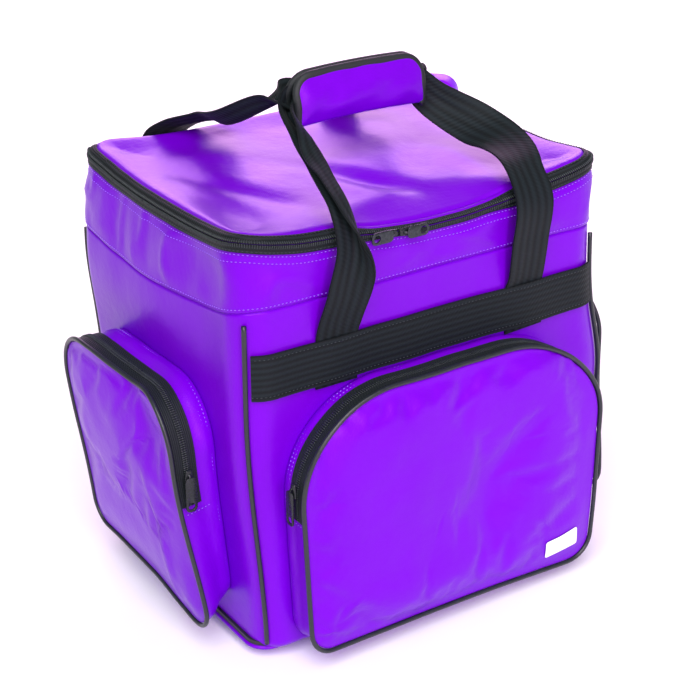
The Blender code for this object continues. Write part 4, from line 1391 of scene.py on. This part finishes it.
def make_slider_form():
    """Slider at the origin: X along the teeth, Y across, Z away from the tape."""
    bpy.ops.object.select_all(action="DESELECT")
    bpy.ops.mesh.primitive_cube_add(size=1, location=(0, 0, 0))
    form = bpy.context.object
    form.scale = (0.0138, 0.0098, 0.0026)
    bpy.ops.object.transform_apply(location=True, rotation=True, scale=True)
    for vertex in form.data.vertices:
        if vertex.co.x < 0:
            vertex.co.y *= 0.62
        if vertex.co.z > 0:
            vertex.co.y *= 0.86
            vertex.co.x *= 0.90
    apply_modifier(form, "BEVEL", width=0.0009, segments=3)
    bpy.ops.object.select_all(action="DESELECT")
    bpy.ops.mesh.primitive_torus_add(major_radius=0.0036, minor_radius=0.00085, major_segments=28,
                                     minor_segments=10, location=(0.0008, 0, 0.0010),
                                     rotation=(pi / 2, 0, 0))
    bridge = bpy.context.object
    bridge.scale = (1.0, 0.62, 1.6)
    bpy.ops.object.transform_apply(location=True, rotation=True, scale=True)
    bridge.select_set(True)
    form.select_set(True)
    bpy.context.view_layer.objects.active = form
    bpy.ops.object.join()
    bpy.ops.object.shade_smooth_by_angle(angle=radians(45))
    return form


slider_form = make_slider_form()
ZIPS = {
    "main_left": (LEFT, FORWARD),
    "main_right": (RIGHT, FORWARD),
    "front_pocket": (DOWN, LEFT),
    "left_pocket": (DOWN, FORWARD),
    "right_pocket": (DOWN, FORWARD),
}
for name, (along, out) in ZIPS.items():
    low, high = (Vector(corner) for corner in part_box(f"{name}_slider"))
    centre = (low + high) / 2
    shift = settle(centre - out * 0.004) - (centre - out * 0.004)
    stand = out * (0.0014 if name in ("left_pocket", "right_pocket") else -0.0004)
    across = out.cross(along)
    turn = Matrix((along, across, out)).transposed().to_4x4()
    slider = link(bpy.data.objects.new(f"{name}_zip_slider", slider_form.data.copy()))
    slider.data.transform(Matrix.Translation(centre + shift + stand) @ turn)
    slider.data.materials.clear()
    slider.data.materials.append(zip_metal)
    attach(slider, f"{name}_slider")
    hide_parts(f"{name}_slider")
    metal = gun_metal if name.startswith("main") else zip_metal
    pull = softened(f"{name}_pull", f"{name}_zip_pull", 0.0004, metal, f"{name}_pull")
    pull.data.transform(Matrix.Translation(shift + stand + out * 0.0004))
bpy.data.objects.remove(slider_form, do_unlink=True)

# %% [markdown]
# ## The label patch
# A small blank patch is sewn to the lower right of the front pocket. It lies on the panel as it is
# after puffing, so its points are found by casting rays at the panel.

# %% label
LABEL_CLEAR = 0.0007        # room for the cloth's curve between two rays
LABEL_TILT = radians(6)
LABEL_HALF = (0.020, 0.010)


def make_label():
    low, high = (Vector(corner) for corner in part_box("label_patch"))
    centre = (low + high) / 2
    panel = BVHTree.FromObject(pouches["front_pocket"], bpy.context.evaluated_depsgraph_get())
    rings = []
    profile = ((0.0, 0.0002), (0.0, 0.0007), (0.0003, 0.0010), (0.0011, 0.0010), (0.0015, 0.0007),
               (0.0022, 0.0007), (0.0026, 0.0010), (0.005, 0.0010), (LABEL_HALF[1] - 1e-5, 0.0010))
    for inset, stand in profile:
        ring = []
        for u, v in rounded_outline(LABEL_HALF[0], -LABEL_HALF[1], LABEL_HALF[1], (0.0025,) * 4, (4,) * 4,
                                    (14, 7, 14, 7), inset):
            x = centre.x + u * cos(LABEL_TILT) - v * sin(LABEL_TILT)
            z = centre.z + u * sin(LABEL_TILT) + v * cos(LABEL_TILT)
            hit = panel.ray_cast(Vector((x, centre.y - 0.1, z)), Vector((0, 1, 0)))[0]
            ring.append(hit + Vector((0, -stand - LABEL_CLEAR, 0)))
        rings.append(ring)
    label = skin("label_patch_sewn", rings, patch_rubber, "bag")
    apply_modifier(label, "SOLIDIFY", thickness=0.0002, offset=-1.0)
    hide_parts("label_patch")


make_label()

# %% [markdown]
# ## Handle and casters
# These keep their mechanical shapes. The grip and the plastic fittings get rounded edges, as any
# moulding has, and the tubes, forks, axles and wheels get their finishes.

# %% handle and caster finishes
grip = softened("handle_grip", "pull_grip", 0.0022, violet_plastic, "handle", 3)
button = softened("handle_button", "grip_button", 0.0009, violet_plastic, "button", 3)
bracket = softened("handle_top_bracket", "pole_bracket", 0.0010, black_plastic, "bag")
foot = softened("handle_foot", "pole_foot", 0.0012, black_plastic, "bag")
CAD_LOOKS = {"handle_tube": tube_metal, "caster_fork": plated_steel, "caster_axle": plated_steel,
             "caster_wheel": wheel_rubber, "base_board": black_plastic}
for item in list(bpy.data.objects):
    for start, look in CAD_LOOKS.items():
        if item.name.startswith(start) and "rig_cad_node" in item:
            for slot in item.material_slots:
                slot.material = look

# %% [markdown]
# ## Stage, light and camera
# A pale floor, a wide soft sun from the front left, a softbox behind for the highlights on the lid, a
# tall strip in front, and an even sky, so the shadows stay soft.

# %% stage and camera
def aim_at(item, way):
    item.rotation_euler = way.to_track_quat("-Z", "Y").to_euler()


def area_light(name, place, aim, size, power):
    lamp = bpy.data.lights.new(name, "AREA")
    lamp.shape = "RECTANGLE"
    lamp.size, lamp.size_y = size
    lamp.energy = power
    lamp.color = (1.0, 0.55, 1.0)
    light = link(bpy.data.objects.new(name, lamp))
    light.location = place
    aim_at(light, Vector(aim) - Vector(place))


bpy.ops.object.select_all(action="DESELECT")
bpy.ops.mesh.primitive_plane_add(size=12, location=(0, 0, 0))
floor = bpy.context.object
floor.name = "floor"
floor.data.materials.append(grainy("pale matt floor", "#F6F5F4", "#FAF9F8", 0.85, 60.0, 0.05))

area_light("back softbox", (1.5, 2.2, 1.5), (0, 0, 0.4), (2.2, 1.4), 52)
area_light("front strip", (-0.3, -2.2, 0.9), (0, 0, 0.2), (0.5, 1.2), 20)
sun = bpy.data.lights.new("soft key", "SUN")
sun.energy = 3.4
sun.angle = radians(50)
aim_at(link(bpy.data.objects.new("soft key", sun)), Vector((0.40, 0.54, -0.74)))
world = bpy.data.worlds.new("even sky")
world.use_nodes = True
world.node_tree.nodes["Background"].inputs["Color"].default_value = (1, 1, 1, 1)
world.node_tree.nodes["Background"].inputs["Strength"].default_value = 0.33
bpy.context.scene.world = world
bpy.context.scene.view_settings.view_transform = "Standard"

lens = bpy.data.cameras.new("camera")
lens.lens = 87.5
lens.sensor_width = 36
camera = link(bpy.data.objects.new("camera", lens))
camera.location = (-0.8132, MIDDLE_Y - 1.2412, 0.9363)
aim_at(camera, Vector((0.4975, 0.7489, -0.4378)))
bpy.context.scene.camera = camera
